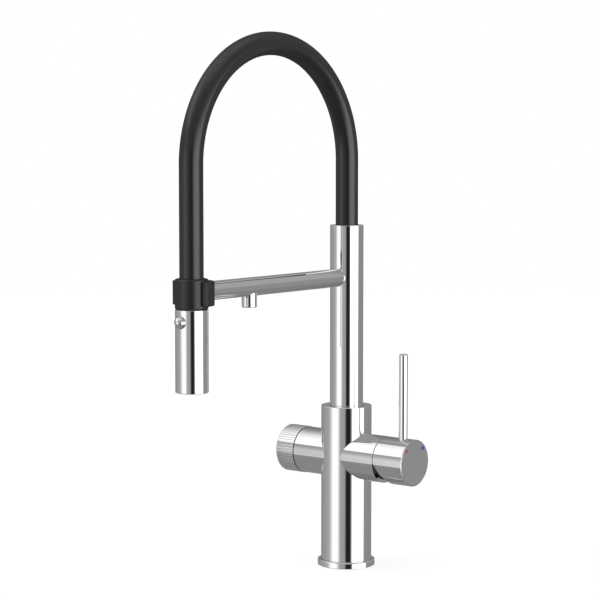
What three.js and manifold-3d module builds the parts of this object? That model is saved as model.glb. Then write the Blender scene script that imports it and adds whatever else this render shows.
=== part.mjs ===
// Three way filtered water kitchen tap: a column with a swivelling riser, a black hose that arches
// over to a spray head docked in a clip, a mixer lever on one side of the column and a filtered
// water knob on the other. Millimetres, +Z up. The origin lies on the deck, on the column's axis.
// -Y is the front, where the arm points. +X is the mixer side and -X the filtered water side.
import * as THREE from "three";
import { mergeVertices } from "three/addons/utils/BufferGeometryUtils.js";
import Module from "manifold-3d";

const wasm = await Module();
wasm.setup();

// ---------- driving dimensions ----------
const gap = 0.3; // between fitted faces
const seam = 0.5; // the joint line that shows beside a hub or knob
const over = 1; // how far a cutting body passes the face it cuts
const roundSides = 32; // facets of the large visible rounds
const boreSides = 20;
const mediumSides = 20;
const innerSides = 14;
const smallSides = 8;
const drillSides = 6;

// column
const columnStep = 8.2; // from the riser's radius out to the column's
const bodyWall = 3;
const bodyAboveValves = 47.6; // from the side tubes' axis to the column's top
const bodyEdge = 0.6;
const shoulderWall = 3.2;
const flangeOverhang = 3.2;
const flangeHeight = 5.7;
const flangeEdge = 0.9;
const flangeLedge = 2.8; // height of the lip that the column stands on
const sealInset = 1.8;
const sealHeight = 1.6;

// inlets in the foot of the column; places across it are shares of its inner radius
const manifoldHeight = 26;
const inletTubeRadius = 4.5;
const inletTubeWall = 1.2;
const inletSpreadShare = 0.53;
const inletForwardShare = 0.145;
const filteredInletShare = 0.63;
const studShare = 0.58;
const studHoleRadius = 3.3;
const studHoleDepth = 18;
const rearTieShares = [0.58, 0.41];
const frontTieShares = [-0.46, -0.6];
const tieRadius = 2;
const tieHeadRadius = 3.2;
const tieHeadHeight = 3;
const threadReach = 5; // how far a screw stays in its thread at least

// valve block inside the column; heights are from the side tubes' axis
const blockBelow = 49.7;
const blockAbove = 24.3;
const socketDepth = 10;
const spigotRadius = 9.1;
const spigotDepth = 12;
const noseRadius = 3.2;
const noseDepth = 7;
const chamberDepth = 3;
const channelRadius = 2;
const channelShift = 2.2; // a waterway leaves its socket this far from the inlet tube's axis
const hotTurnBelow = 8.2;
const coldTurnBelow = 14.7;
const filteredTurnBelow = 2;
const mixedChannelPlace = 4.6;

// side tubes
const valveHeight = 105.7;
const mixerTubeRadius = 22;
const mixerTubeReach = 47.1;
const filterTubeRadius = 22.1;
const filterTubeReach = 47.2;
const sideTubeWall = 3;

// mixer cartridge and its lever; depths are from the end of the fixed tube
const cartridgeFit = 1.7; // between the cartridge and the tube's bore
const cartridgeDepth = 33.8;
const cartridgeShoulderDepth = 14.1;
const cartridgeNeckStep = 2.8;
const cartridgeNeckHeight = 3;
const nutDepth = 2.1;
const nutFlangeThickness = 7.2;
const pivotDepth = 1.1;
const leverTilt = 18; // degrees from shut to full flow
const domeFit = 1.4;
const domeWall = 1.2;
const domeRim = 92; // degrees from the axis, past the widest point
const domeOpeningMargin = 25; // degrees of opening beyond the lever's tilt
const carrierThickness = 3.7;
const earThickness = 3.5;
const earRadius = 4.2;
const earPlay = 0.8;
const stemWidth = 7;
const stemReach = 21.9; // from the hub's back face
const pinRadius = 1.5;
const hubInset = 0.1; // the hub is this much smaller in radius than the fixed tube
const hubLength = 32.7;
const hubEdge = 0.6;
const hubWall = 2.7;
const hubCupDepth = 14.9;
const hubWebThickness = 4;
const hubReliefLean = 30; // degrees; more than the lever tilts, so the hub clears the fixed tube
const discRim = 1.1;
const discFit = 0.2;
const discThickness = 1.4;
const dotRadius = 1.7;
const dotThickness = 0.5;
const dotInset = 2.8; // from the disc's edge to a dot's centre
const hubScrewHeadRadius = 4;
const hubScrewHeadHeight = 3;
const hubScrewRadius = 2;
const hubScrewReach = 6;
const rodRadius = 4.13;
const rodPlace = 19.4; // from the hub's back face
const rodHeight = 79.2; // above the hub's top
const rodTopEdge = 1.4;
const rodSeatDepth = 2.2;
const rodTenonRadius = 3;
const rodTenonDepth = 12;

// filtered water valve and its knob; depths are from the end of the fixed tube
const filterCartridgeRadius = 11;
const filterCartridgeDepth = 34.9;
const filterCartridgeInset = 3.2;
const filterNutInset = 0.6;
const filterNutLength = 13.6;
const spindleRadius = 4;
const spindleDepth = 16.9;
const spindleReach = 12.3; // from the knob's back face
const spindleTeeth = 12;
const spindleToothDepth = 0.5;
const knobOverhang = 0.45; // past the fixed tube
const knobLength = 21;
const knobFlutes = 56;
const knobFluteDepth = 0.55;
const knobEdge = 0.7;
const knobCupDepth = 9.4;
const knobCapRim = 3.35;
const knobCapThickness = 1.2;
const knobScrewRadius = 1.5;
const knobScrewHeadRadius = 3.2;
const knobScrewHeadHeight = 2.4;

// riser
const riserRadius = 15.8;
const riserWall = 2;
const riserTop = 324.5;
const riserEdge = 0.4;
const clipRingShare = 0.4; // of the height between the valve block and the shoulder
const clipRingThickness = 1.2;
const clipRingProud = 2.8;
const clipRingGroove = 0.8;
const clipRingSlot = 6;
const bushPlay = 0.5;
const plugHeight = 17.7;
const pipeSocketDepth = 6;
const pipeMargin = 1.1; // from the mixed water pipe out to the plug's edge
const pipeSpace = 1; // between the two pipes
const mixedBoreBack = 5.6;
const mixedBoreRadius = 1.8;
const filteredPipeRadius = 2.6;
const filteredPipeBend = 14;
const filteredBoreRadius = 1.4;
const pipeWall = 0.9;
const sealCordRadius = 0.6;
const sealProud = 0.05;
const sealPlaces = [2.2, 6.6]; // above the spigot's foot

// arm, outlet and docking clip
const armBelowTop = 49.3; // from the riser's top down to the arm's axis
const armRadius = 8.45;
const armWall = 1.25;
const reach = 218; // from the column's axis to the spray head's axis
const nozzleFromHead = 76.6;
const nozzleRadius = 6.95;
const nozzleDrop = 9.95; // below the arm
const nozzleEdge = 0.9;
const nozzleShankRadius = 4;
const nozzleWall = 1.45;
const nozzleInsertThickness = 4.4;
const elbowLength = 15;
const elbowSocket = 3;
const clipPlay = 0.5; // between the clip and the collar
const clipWall = 4.9;
const clipBelow = 11.2; // below the arm's axis
const clipAbove = 10.1;
const clipEdge = 0.8;
const clipJawReach = 3; // the jaws end this far in front of the head's axis
const clipSpigotLength = 14;

// hose
const hoseBoreShare = 0.744; // of the hose's radius
const innerHoseShare = 0.75; // of that bore
const innerHoseBoreShare = 0.667; // of the inner hose's radius
const hoseSeatDepth = 30.2; // the hose starts this far below the riser's top
const hoseSides = 18;
const hoseArchSteps = 20;
const innerHoseArchSteps = 10;
const archAboveRiser = 60.8; // both legs start to bend this far above the riser's top
const archRise = 106.5;
const adapterThickness = 8;
const adapterSocket = 3;
const adapterChamberInset = 3.5;
const adapterChamberHeight = 2;
const barbShare = 0.85; // of the inner hose's bore
const barbBoreShare = 0.68; // of the barb's radius
const barbLength = 11;
const ferruleShare = 0.8875; // of the hose's bore
const ferruleLength = 10;
const topRingHeight = 7;
const topRingWall = 2.45;

// spray head
const collarWall = 3.55;
const headWall = 1.6;
const headLength = 72.6;
const headEdge = 0.7;
const collarBelowArm = 14.2;
const collarHeight = 26.4;
const collarTopEdge = 1.4;
const collarBottomEdge = 1.2;
const collarThroatStart = 10.6; // above the collar's foot
const neckStep = 4.7; // from the head's radius in to the neck's
const neckLipStep = 3.2;
const neckLipStart = 4;
const neckLipHeight = 3;
const neckWall = 3.6;
const swivelSpigotDepth = 2.1; // below the head's top
const fittingFlange = 3;
const coreTopDepth = 4.7;
const coreBottomHeight = 10.9;
const faceRecess = 0.7;
const faceThickness = 7;
const sprayNozzles = 12;
const sprayNozzleRadius = 0.8;
const sprayNozzleDepth = 2.4;
const aeratorRadius = 6.5;
const aeratorRecess = 1;
const aeratorHoles = 6;
const aeratorHoleRadius = 1.1;
const holeRingShare = 0.6; // where a ring of outlet holes lies across its insert
const diverterBore = 4;
const buttonBelowTop = 10.5;
const buttonRadius = 5.25;
const buttonProud = 0.4; // the centre of its round end, past the head's surface
const buttonLength = 4.8; // from that centre to the back of the cap
const buttonTravel = 2.5;
const buttonPocketLength = 6; // behind the cap
const buttonStemRadius = 1.7;
const springRadius = 3.4;
const springWire = 0.4;
const springTurns = 3;
const springStepsPerTurn = 6;

// sizes and places that follow from these
const riserBore = riserRadius - riserWall;
const riserFit = riserBore - gap;
const bodyRadius = riserRadius + columnStep;
const bodyTop = valveHeight + bodyAboveValves;
const bodyBore = bodyRadius - bodyWall;
const innerFit = bodyBore - gap; // radius of what slides into the column
const flangeRadius = bodyRadius + flangeOverhang;
const sealInner = bodyBore + sealInset;
const sealOuter = flangeRadius - sealInset;
const inletSpread = inletSpreadShare * innerFit;
const inletForward = inletForwardShare * innerFit;
const filteredInletBack = filteredInletShare * innerFit;
const studForward = studShare * innerFit;
const blockBottom = valveHeight - blockBelow;
const blockTop = valveHeight + blockAbove;
const spigotBottom = blockTop - spigotDepth + gap;
const chamberFloor = blockTop - spigotDepth - chamberDepth;
const noseSeatFloor = blockTop - spigotDepth - noseDepth;
const sideBore = mixerTubeRadius - sideTubeWall;
const nutRadius = sideBore - gap;
const cartridgeRadius = sideBore - cartridgeFit;
const cartridgeStart = mixerTubeReach - cartridgeDepth;
const cartridgeShoulder = mixerTubeReach - cartridgeShoulderDepth;
const cartridgeEnd = cartridgeShoulder + cartridgeNeckHeight;
const cartridgeNeck = cartridgeRadius - cartridgeNeckStep;
const nutEnd = mixerTubeReach - nutDepth;
const nutFlangeEnd = cartridgeShoulder + gap + nutFlangeThickness;
const pivotReach = mixerTubeReach - pivotDepth;
const domeRadius = sideBore - domeFit;
const domeOpening = leverTilt + domeOpeningMargin;
const hubStart = mixerTubeReach + seam;
const hubEnd = hubStart + hubLength;
const hubRadius = mixerTubeRadius - hubInset;
const hubTop = valveHeight + hubRadius;
const stemEnd = hubStart + stemReach;
const discRadius = hubRadius - discRim;
const filterCartridgeStart = filterTubeReach - filterCartridgeDepth;
const filterCartridgeEnd = filterTubeReach - filterCartridgeInset;
const filterNutEnd = filterTubeReach - filterNutInset;
const knobStart = filterTubeReach + seam;
const knobEnd = knobStart + knobLength;
const knobRadius = filterTubeRadius + knobOverhang;
const spindleStart = filterTubeReach - spindleDepth;
const spindleEnd = knobStart + spindleReach;
const riserBottom = blockTop + gap;
const bearingTop = bodyTop - shoulderWall;
const clipRingBottom = riserBottom + clipRingShare * (bearingTop - riserBottom);
const clipRingTop = clipRingBottom + clipRingThickness;
const plugTop = riserBottom + plugHeight;
const mixedPipeRadius = (riserFit - pipeMargin - filteredPipeRadius - pipeSpace) / 2;
const mixedPipeBack = riserFit - pipeMargin - mixedPipeRadius;
const armHeight = riserTop - armBelowTop;
const armBore = armRadius - armWall;
const armFit = armBore - gap;
const nozzlePlace = reach - nozzleFromHead;
const nozzleBottom = armHeight - armRadius - nozzleDrop;
const hoseRadius = riserFit - topRingWall - gap;
const headRadius = hoseRadius + gap + collarWall;
const clipInner = headRadius + clipPlay;
const clipOuter = clipInner + clipWall;
const clipBottom = armHeight - clipBelow;
const clipTop = armHeight + clipAbove;
const hoseBore = hoseBoreShare * hoseRadius;
const innerHoseRadius = innerHoseShare * hoseBore;
const innerHoseBore = innerHoseBoreShare * innerHoseRadius;
const barbRadius = barbShare * innerHoseBore;
const barbBore = barbBoreShare * barbRadius;
const hoseStart = riserTop - hoseSeatDepth;
const archSpring = riserTop + archAboveRiser;
const adapterTop = hoseStart - gap;
const adapterBottom = adapterTop - adapterThickness;
const collarBottom = armHeight - collarBelowArm;
const collarTop = collarBottom + collarHeight;
const hoseEnd = collarBottom + collarThroatStart;
const headTop = collarBottom - gap;
const headBottom = headTop - headLength;
const headBore = headRadius - headWall;
const coreRadius = headBore - gap;
const coreTop = headTop - coreTopDepth;
const coreBottom = headBottom + coreBottomHeight;
const neckRadius = headRadius - neckStep;
const neckLipRadius = headRadius - neckLipStep;
const neckLipBottom = collarBottom + neckLipStart;
const neckTop = neckLipBottom + neckLipHeight;
const neckBore = neckRadius - neckWall;
const swivelSpigotBottom = headTop - swivelSpigotDepth;
const fittingBottom = neckTop + gap;
const fittingTop = fittingBottom + fittingFlange;
const faceBottom = headBottom + faceRecess;
const faceTop = faceBottom + faceThickness;
const buttonHeight = headTop - buttonBelowTop;
const buttonCentre = headRadius + buttonProud;
const buttonBack = buttonCentre - buttonLength;
const buttonPocket = buttonBack - buttonPocketLength;

// ---------- finishes ----------
const finish = (color, metalness, roughness) => ({ color, metalness, roughness });
const chrome = finish(0xc4c6c8, 1, 0.06);
const darkChrome = finish(0x4a4b4d, 0.9, 0.25);
const brass = finish(0xb18f4f, 1, 0.35);
const steel = finish(0xa9abad, 1, 0.3);
const hosePolymer = finish(0x232324, 0, 0.5);
const blackPlastic = finish(0x1e1e1f, 0, 0.42);
const blackRubber = finish(0x141414, 0, 0.75);
const greyRubber = finish(0x5c5e60, 0, 0.7);
const whitePlastic = finish(0xe4e2dc, 0, 0.5);
const tubeWhite = finish(0xdfe3e4, 0, 0.45);
const hotRed = finish(0xe03a3a, 0, 0.4);
const coldBlue = finish(0x2f39d8, 0, 0.4);

// ---------- building blocks ----------
// A closed geometry as a solid, with collapsed triangles dropped and its faces turned outward.
function solid(geometry) {
  const bare = geometry.clone();
  bare.deleteAttribute("normal");
  bare.deleteAttribute("uv");
  const merged = mergeVertices(bare, 1e-4);
  const position = merged.getAttribute("position");
  const index = merged.index.array;
  const triangles = [];
  let volume = 0;
  const [a, b, c] = [new THREE.Vector3(), new THREE.Vector3(), new THREE.Vector3()];
  for (let i = 0; i < index.length; i += 3) {
    const [p, q, r] = [index[i], index[i + 1], index[i + 2]];
    if (p === q || q === r || r === p) continue;
    triangles.push([p, q, r]);
    a.fromBufferAttribute(position, p);
    b.fromBufferAttribute(position, q);
    c.fromBufferAttribute(position, r);
    volume += a.dot(b.cross(c));
  }
  const outward = volume < 0 ? triangles.map(([p, q, r]) => [p, r, q]) : triangles;
  const mesh = new wasm.Mesh({
    numProp: 3,
    vertProperties: new Float32Array(position.array),
    triVerts: new Uint32Array(outward.flat()),
  });
  return new wasm.Manifold(mesh);
}

const join = (first, ...others) => others.reduce((whole, other) => whole.add(other), first);
const cut = (first, ...others) => others.reduce((whole, other) => whole.subtract(other), first);

// Turns a geometry made along +Y so that it runs along the axis, then moves it to its place.
function place(geometry, axis, at) {
  if (axis === "x") geometry.rotateZ(-Math.PI / 2);
  if (axis === "z") geometry.rotateX(Math.PI / 2);
  return geometry.translate(...at);
}

// A profile of [radius, height] points turned about an axis. Where it doesn't start on the axis,
// it closes on itself.
function turned(profile, { axis = "z", at = [0, 0, 0], sides = roundSides } = {}) {
  const closed = profile[0][0] > 0 ? [...profile, profile[0]] : profile;
  const points = closed.map(([radius, height]) => new THREE.Vector2(radius, height));
  return solid(place(new THREE.LatheGeometry(points, sides), axis, at));
}

const rod = (radius, from, to, options) =>
  turned([[0, from], [radius, from], [radius, to], [0, to]], options);

const ring = (inner, outer, from, to, options) =>
  turned([[inner, from], [outer, from], [outer, to], [inner, to]], options);

// Points of a round or, in one step, a bevel between two angles, in degrees, for a profile.
function corner(radius, height, size, from, to, steps = 1) {
  return Array.from({ length: steps + 1 }, (_, step) => {
    const angle = THREE.MathUtils.degToRad(from + ((to - from) * step) / steps);
    return [radius + size * Math.cos(angle), height + size * Math.sin(angle)];
  });
}

function box(x, y, z) {
  const size = [x[1] - x[0], y[1] - y[0], z[1] - z[0]];
  const middle = [(x[0] + x[1]) / 2, (y[0] + y[1]) / 2, (z[0] + z[1]) / 2];
  return solid(new THREE.BoxGeometry(...size).translate(...middle));
}

// A bar along X whose section is a circle with straight flutes.
function flutedBar(crest, depth, flutes, from, to, at) {
  const count = 2 * flutes;
  const outline = Array.from({ length: count }, (_, i) => {
    const angle = (2 * Math.PI * i) / count;
    const radius = i % 2 === 0 ? crest : crest - depth;
    return new THREE.Vector2(radius * Math.cos(angle), radius * Math.sin(angle));
  });
  const shape = new THREE.Shape(outline);
  const geometry = new THREE.ExtrudeGeometry(shape, { depth: to - from, bevelEnabled: false });
  geometry.rotateY(Math.PI / 2);
  return solid(geometry.translate(at[0] + from, at[1], at[2]));
}

function circle(radius, sides) {
  return Array.from({ length: sides }, (_, i) => {
    const angle = (2 * Math.PI * i) / sides;
    return new THREE.Vector2(radius * Math.cos(angle), radius * Math.sin(angle));
  });
}

// The place of one hole of a ring of holes round an upright axis.
function around(count, distance, i, [x, y]) {
  const angle = (2 * Math.PI * i) / count;
  return [x + distance * Math.cos(angle), y + distance * Math.sin(angle), 0];
}

// A path in the x = 0 plane made of stretches, each with its own number of steps, so that straights
// stay plain and bends stay round. A stretch gives [y, z] for a share of its length.
class Route extends THREE.Curve {
  constructor(stretches) {
    super();
    this.stretches = stretches;
    this.steps = stretches.reduce((sum, { steps }) => sum + steps, 0);
  }

  getPoint(t) {
    let left = t * this.steps;
    let found = this.stretches[0];
    for (const stretch of this.stretches) {
      found = stretch;
      if (left <= stretch.steps) break;
      left -= stretch.steps;
    }
    const share = Math.min(left / found.steps, 1);
    return new THREE.Vector3(0, ...found.at(share));
  }

  getPointAt(share) {
    return this.getPoint(share);
  }

  getTangentAt(share) {
    return this.getTangent(share);
  }
}

// A pipe with a bore along a route.
function pipe(route, outer, inner, sides, innerSides) {
  const shape = new THREE.Shape(circle(outer, sides));
  shape.holes.push(new THREE.Path(circle(inner, innerSides).reverse()));
  const options = { steps: route.steps, extrudePath: route, bevelEnabled: false };
  return solid(new THREE.ExtrudeGeometry(shape, options));
}

const tap = new THREE.Group();
function add(name, piece, look) {
  const { vertProperties, triVerts, numProp } = piece.getMesh();
  const position = new Float32Array((vertProperties.length / numProp) * 3);
  for (let i = 0; i < position.length; i += 1) {
    position[i] = vertProperties[Math.floor(i / 3) * numProp + (i % 3)];
  }
  const geometry = new THREE.BufferGeometry();
  geometry.setAttribute("position", new THREE.BufferAttribute(position, 3));
  geometry.setIndex(new THREE.BufferAttribute(new Uint32Array(triVerts), 1));
  geometry.computeVertexNormals();
  const mesh = new THREE.Mesh(geometry, new THREE.MeshStandardMaterial(look));
  mesh.name = name;
  tap.add(mesh);
}

// ---------- column and foot ----------
const headAt = [0, -reach, 0];
const sideAt = [0, 0, valveHeight];

function addFoot() {
  const flange = [
    [innerFit + gap, 0],
    [sealInner - gap, 0],
    [sealInner - gap, sealHeight + gap],
    [sealOuter + gap, sealHeight + gap],
    [sealOuter + gap, 0],
    [flangeRadius, 0],
    ...corner(flangeRadius - flangeEdge, flangeHeight - flangeEdge, flangeEdge, 0, 90),
    [bodyRadius + gap, flangeHeight],
    [bodyRadius + gap, flangeLedge],
    [innerFit + gap, flangeLedge],
  ];
  add("base_flange", turned(flange), chrome);
  const sealRing = ring(sealInner, sealOuter, 0, sealHeight, { sides: mediumSides });
  add("base_seal", sealRing, blackRubber);
}

function addBody() {
  const foot = flangeLedge + gap;
  const column = turned([
    [0, foot],
    [bodyRadius, foot],
    ...corner(bodyRadius - bodyEdge, bodyTop - bodyEdge, bodyEdge, 0, 90),
    [0, bodyTop],
  ]);
  const alongX = { axis: "x", at: sideAt };
  const mixerTube = rod(mixerTubeRadius, 0, mixerTubeReach, alongX);
  const filterTube = rod(filterTubeRadius, -filterTubeReach, 0, alongX);
  const bore = rod(bodyBore, 0, bearingTop, { sides: boreSides });
  const opening = rod(riserRadius + bushPlay, bearingTop - over, bodyTop + over);
  const cross = rod(sideBore, -filterTubeReach - over, mixerTubeReach + over, {
    ...alongX,
    sides: boreSides,
  });
  add("body_shell", cut(join(column, mixerTube, filterTube), bore, opening, cross), chrome);
}

const across = (share) => share * innerFit;
const inlets = [
  { name: "hot_inlet_tube", at: [-inletSpread, -inletForward, 0] },
  { name: "cold_inlet_tube", at: [inletSpread, -inletForward, 0] },
  { name: "filtered_inlet_tube", at: [0, filteredInletBack, 0] },
];
const ties = [
  { name: "tie_screw_front", at: [...frontTieShares.map(across), 0] },
  { name: "tie_screw_rear", at: [...rearTieShares.map(across), 0] },
];

function addInlets() {
  const small = (at) => ({ at, sides: smallSides });
  const port = ({ at }) => rod(inletTubeRadius + gap, -over, manifoldHeight + over, small(at));
  const tieHole = ({ at }) => rod(tieRadius + gap, -over, manifoldHeight + over, small(at));
  const tieSink = ({ at }) => rod(tieHeadRadius + gap, -over, tieHeadHeight + 2 * gap, small(at));
  const studHole = rod(studHoleRadius, -over, studHoleDepth, small([0, -studForward, 0]));
  const foot = rod(innerFit, 0, manifoldHeight, { sides: innerSides });
  const holes = [...inlets.map(port), ...ties.map(tieHole), ...ties.map(tieSink), studHole];
  add("inlet_manifold", cut(foot, ...holes), brass);

  for (const { name, at } of inlets) {
    const bottom = manifoldHeight - socketDepth;
    const top = blockBottom + socketDepth - gap;
    const inner = inletTubeRadius - inletTubeWall;
    add(name, ring(inner, inletTubeRadius, bottom, top, small(at)), tubeWhite);
  }
  for (const { name, at } of ties) {
    const head = rod(tieHeadRadius, gap, gap + tieHeadHeight, small(at));
    const shank = rod(tieRadius, gap, blockBottom + socketDepth - gap, small(at));
    add(name, join(head, shank), steel);
  }
}

// Drilled waterways: hot, cold and filtered water rise from their inlets to the cartridges, and
// mixed and filtered water rise from the cartridges to the riser's seat.
function waterways() {
  const drill = (axis, [x, y, z], from, to) =>
    rod(channelRadius, from, to, { axis, at: [x, y, z], sides: drillSides });
  const socketTop = blockBottom + socketDepth - over;
  const rise = ({ x, y, turn }) => drill("z", [x, y, 0], socketTop, turn + channelRadius);
  const toMixer = ({ x, y, turn }) => drill("x", [0, y, turn], x - channelRadius, cartridgeStart);
  const hot = { x: channelShift - inletSpread, y: -inletForward, turn: valveHeight - hotTurnBelow };
  const cold = {
    x: inletSpread - channelShift / 2,
    y: -inletForward - channelShift / 2,
    turn: valveHeight - coldTurnBelow,
  };
  const mixed = { x: mixedChannelPlace, y: mixedChannelPlace, turn: valveHeight };
  const filtered = {
    x: 0,
    y: filteredInletBack - channelShift,
    turn: valveHeight - filteredTurnBelow,
  };
  const filteredEntry = filterCartridgeRadius - channelRadius;
  return [
    ...[hot, cold, filtered].map(rise),
    ...[hot, cold, mixed].map(toMixer),
    drill("x", [0, filteredEntry, filtered.turn], -filterCartridgeStart, channelRadius),
    drill("x", sideAt, -filterCartridgeStart, channelRadius),
    drill("z", [mixed.x, mixed.y, 0], valveHeight, chamberFloor + over),
    drill("z", [0, 0, 0], valveHeight, noseSeatFloor + over),
  ];
}

function addValveBlock() {
  const block = rod(innerFit, blockBottom, blockTop, { sides: innerSides });
  const hole = (radius) => ({ at }) =>
    rod(radius, blockBottom - over, blockBottom + socketDepth, { at, sides: smallSides });
  const sockets = [...inlets.map(hole(inletTubeRadius + gap)), ...ties.map(hole(tieRadius + gap))];
  const alongX = { axis: "x", at: sideAt, sides: innerSides };
  const mixerSeat = rod(cartridgeRadius + gap, cartridgeStart - gap, bodyRadius, alongX);
  const filterEnd = -filterCartridgeStart + gap;
  const filterSeat = rod(filterCartridgeRadius + gap, -bodyRadius, filterEnd, alongX);
  const riserSeat = rod(spigotRadius + gap, chamberFloor, blockTop + over, { sides: innerSides });
  const noseSeat = rod(noseRadius + gap, noseSeatFloor, chamberFloor + over, {
    sides: smallSides,
  });
  const holes = [...sockets, mixerSeat, filterSeat, riserSeat, noseSeat, ...waterways()];
  add("valve_block", cut(block, ...holes), brass);
}

// ---------- mixer ----------
function addMixerValve() {
  const alongX = { axis: "x", at: sideAt, sides: innerSides };
  const cartridge = [
    [0, cartridgeStart],
    [cartridgeRadius, cartridgeStart],
    [cartridgeRadius, cartridgeShoulder],
    [cartridgeNeck, cartridgeShoulder],
    [cartridgeNeck, cartridgeEnd],
    [0, cartridgeEnd],
  ];
  add("mixer_cartridge", turned(cartridge, alongX), whitePlastic);

  const thread = rod(nutRadius, cartridgeShoulder + gap, nutFlangeEnd, alongX);
  const hexagon = rod(nutRadius, nutFlangeEnd - over, nutEnd, { axis: "x", at: sideAt, sides: 6 });
  const bore = rod(cartridgeNeck + gap, cartridgeShoulder, nutEnd + over, alongX);
  add("cartridge_nut", cut(join(thread, hexagon), bore), brass);

  const arc = (radius, from, to) =>
    corner(0, pivotReach, radius, 90 - from, 90 - to, 4);
  const dome = [
    ...arc(domeRadius, domeRim, domeOpening),
    ...arc(domeRadius - domeWall, domeOpening, domeRim),
  ];
  add("cartridge_dome", turned(dome, alongX), darkChrome);
}

function addMixerCarrier() {
  const alongX = { axis: "x", at: sideAt, sides: innerSides };
  const start = cartridgeEnd + gap;
  const disc = rod(cartridgeNeck - gap, start, start + carrierThickness, alongX);
  const inner = stemWidth / 2 + earPlay;
  const outer = inner + earThickness;
  const alongPin = { axis: "y", at: [pivotReach, 0, valveHeight], sides: smallSides };
  const ear = (from, to) => {
    const z = [valveHeight - earRadius, valveHeight + earRadius];
    const root = box([start + over, pivotReach], [from, to], z);
    return join(rod(earRadius, from, to, alongPin), root);
  };
  const hole = rod(pinRadius + gap, -outer - over, outer + over, alongPin);
  add("mixer_carrier", cut(join(disc, ear(-outer, -inner), ear(inner, outer)), hole), steel);
  add("pivot_pin", rod(pinRadius, -outer, outer, alongPin), steel);
}

function addMixerLever() {
  const alongX = { axis: "x", at: sideAt };
  const half = stemWidth / 2;
  const alongPin = { axis: "y", at: [pivotReach, 0, valveHeight], sides: smallSides };
  const z = (size) => [valveHeight - size, valveHeight + size];
  const eye = rod(half, -half, half, alongPin);
  const bar = box([pivotReach, stemEnd], [-half, half], z(half));
  const pinHole = rod(pinRadius + gap, -stemWidth, stemWidth, alongPin);
  const smallX = { axis: "x", at: sideAt, sides: smallSides };
  const thread = rod(hubScrewRadius + gap, stemEnd - hubScrewReach - gap, stemEnd + over, smallX);
  add("mixer_stem", cut(join(eye, bar), pinHole, thread), steel);

  const discSeat = hubEnd - discThickness - gap;
  const webEnd = stemEnd + 2 * gap + hubWebThickness;
  const outer = turned(
    [
      [0, hubStart],
      [hubRadius, hubStart],
      ...corner(hubRadius - hubEdge, hubEnd - hubEdge, hubEdge, 0, 90),
      [0, hubEnd],
    ],
    alongX,
  );
  const cup = rod(hubRadius - hubWall, hubStart - over, hubStart + hubCupDepth, {
    ...alongX,
    sides: boreSides,
  });
  const socket = box([hubStart, stemEnd + gap], [-half - gap, half + gap], z(half + gap));
  const screwHole = rod(hubScrewRadius + gap, stemEnd, webEnd + over, smallX);
  const screwSink = rod(hubScrewHeadRadius + gap, webEnd, hubEnd, smallX);
  const discPocket = rod(discRadius + discFit, discSeat, hubEnd + over, alongX);
  const rodAt = { at: [hubStart + rodPlace, 0, 0], sides: mediumSides };
  const rodSeat = rod(rodRadius + gap, hubTop - rodSeatDepth - gap, hubTop + over, rodAt);
  const tenonHole = rod(rodTenonRadius + gap, hubTop - rodTenonDepth - gap, hubTop, rodAt);
  const hub = cut(outer, cup, socket, screwHole, screwSink, discPocket, rodSeat, tenonHole);
  add("mixer_hub", cut(hub, leverRelief()), chrome);

  const screwHead = rod(hubScrewHeadRadius, webEnd + gap, webEnd + gap + hubScrewHeadHeight, smallX);
  const screwShank = rod(hubScrewRadius, stemEnd - hubScrewReach, webEnd + 2 * gap, smallX);
  add("hub_screw", join(screwHead, screwShank), steel);

  const lever = [
    [0, hubTop - rodTenonDepth],
    [rodTenonRadius, hubTop - rodTenonDepth],
    [rodTenonRadius, hubTop - rodSeatDepth],
    [rodRadius, hubTop - rodSeatDepth],
    ...corner(rodRadius - rodTopEdge, hubTop + rodHeight - rodTopEdge, rodTopEdge, 0, 90, 2),
    [0, hubTop + rodHeight],
  ];
  add("lever_rod", turned(lever, rodAt), chrome);
}

// The wedge that clears the fixed tube when the lever tilts outward: a block below the hub's axis
// whose near face leans away from the tube.
function leverRelief() {
  const depth = 2 * hubRadius;
  const wedge = new THREE.BoxGeometry(depth, 2 * depth, depth);
  wedge.translate(-depth / 2, 0, -depth / 2);
  wedge.rotateY(THREE.MathUtils.degToRad(-hubReliefLean));
  return solid(wedge.translate(hubStart, 0, valveHeight));
}

function addIndexDisc() {
  const back = hubEnd - discThickness;
  const dotAt = (side) => {
    const offset = (discRadius - dotInset) * Math.SQRT1_2;
    return { axis: "x", at: [0, side * offset, valveHeight + offset], sides: innerSides };
  };
  const disc = rod(discRadius, back, hubEnd, { axis: "x", at: sideAt });
  const recess = (side) =>
    rod(dotRadius + discFit, hubEnd - dotThickness - gap, hubEnd + over, dotAt(side));
  add("index_disc", cut(disc, recess(-1), recess(1)), chrome);
  add("hot_dot", rod(dotRadius, hubEnd - dotThickness, hubEnd, dotAt(-1)), hotRed);
  add("cold_dot", rod(dotRadius, hubEnd - dotThickness, hubEnd, dotAt(1)), coldBlue);
}

// ---------- filtered water valve ----------
function addFilterValve() {
  const alongX = { axis: "x", at: sideAt, sides: innerSides };
  const body = rod(filterCartridgeRadius, -filterCartridgeEnd, -filterCartridgeStart, alongX);
  const bore = rod(spindleRadius + gap, -filterCartridgeEnd - over, -spindleStart + gap, alongX);
  add("filter_cartridge", cut(body, bore), brass);
  const inner = filterCartridgeRadius + gap;
  const nutStart = filterNutEnd - filterNutLength;
  add("filter_nut", ring(inner, nutRadius, -filterNutEnd, -nutStart, alongX), brass);
}

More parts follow.
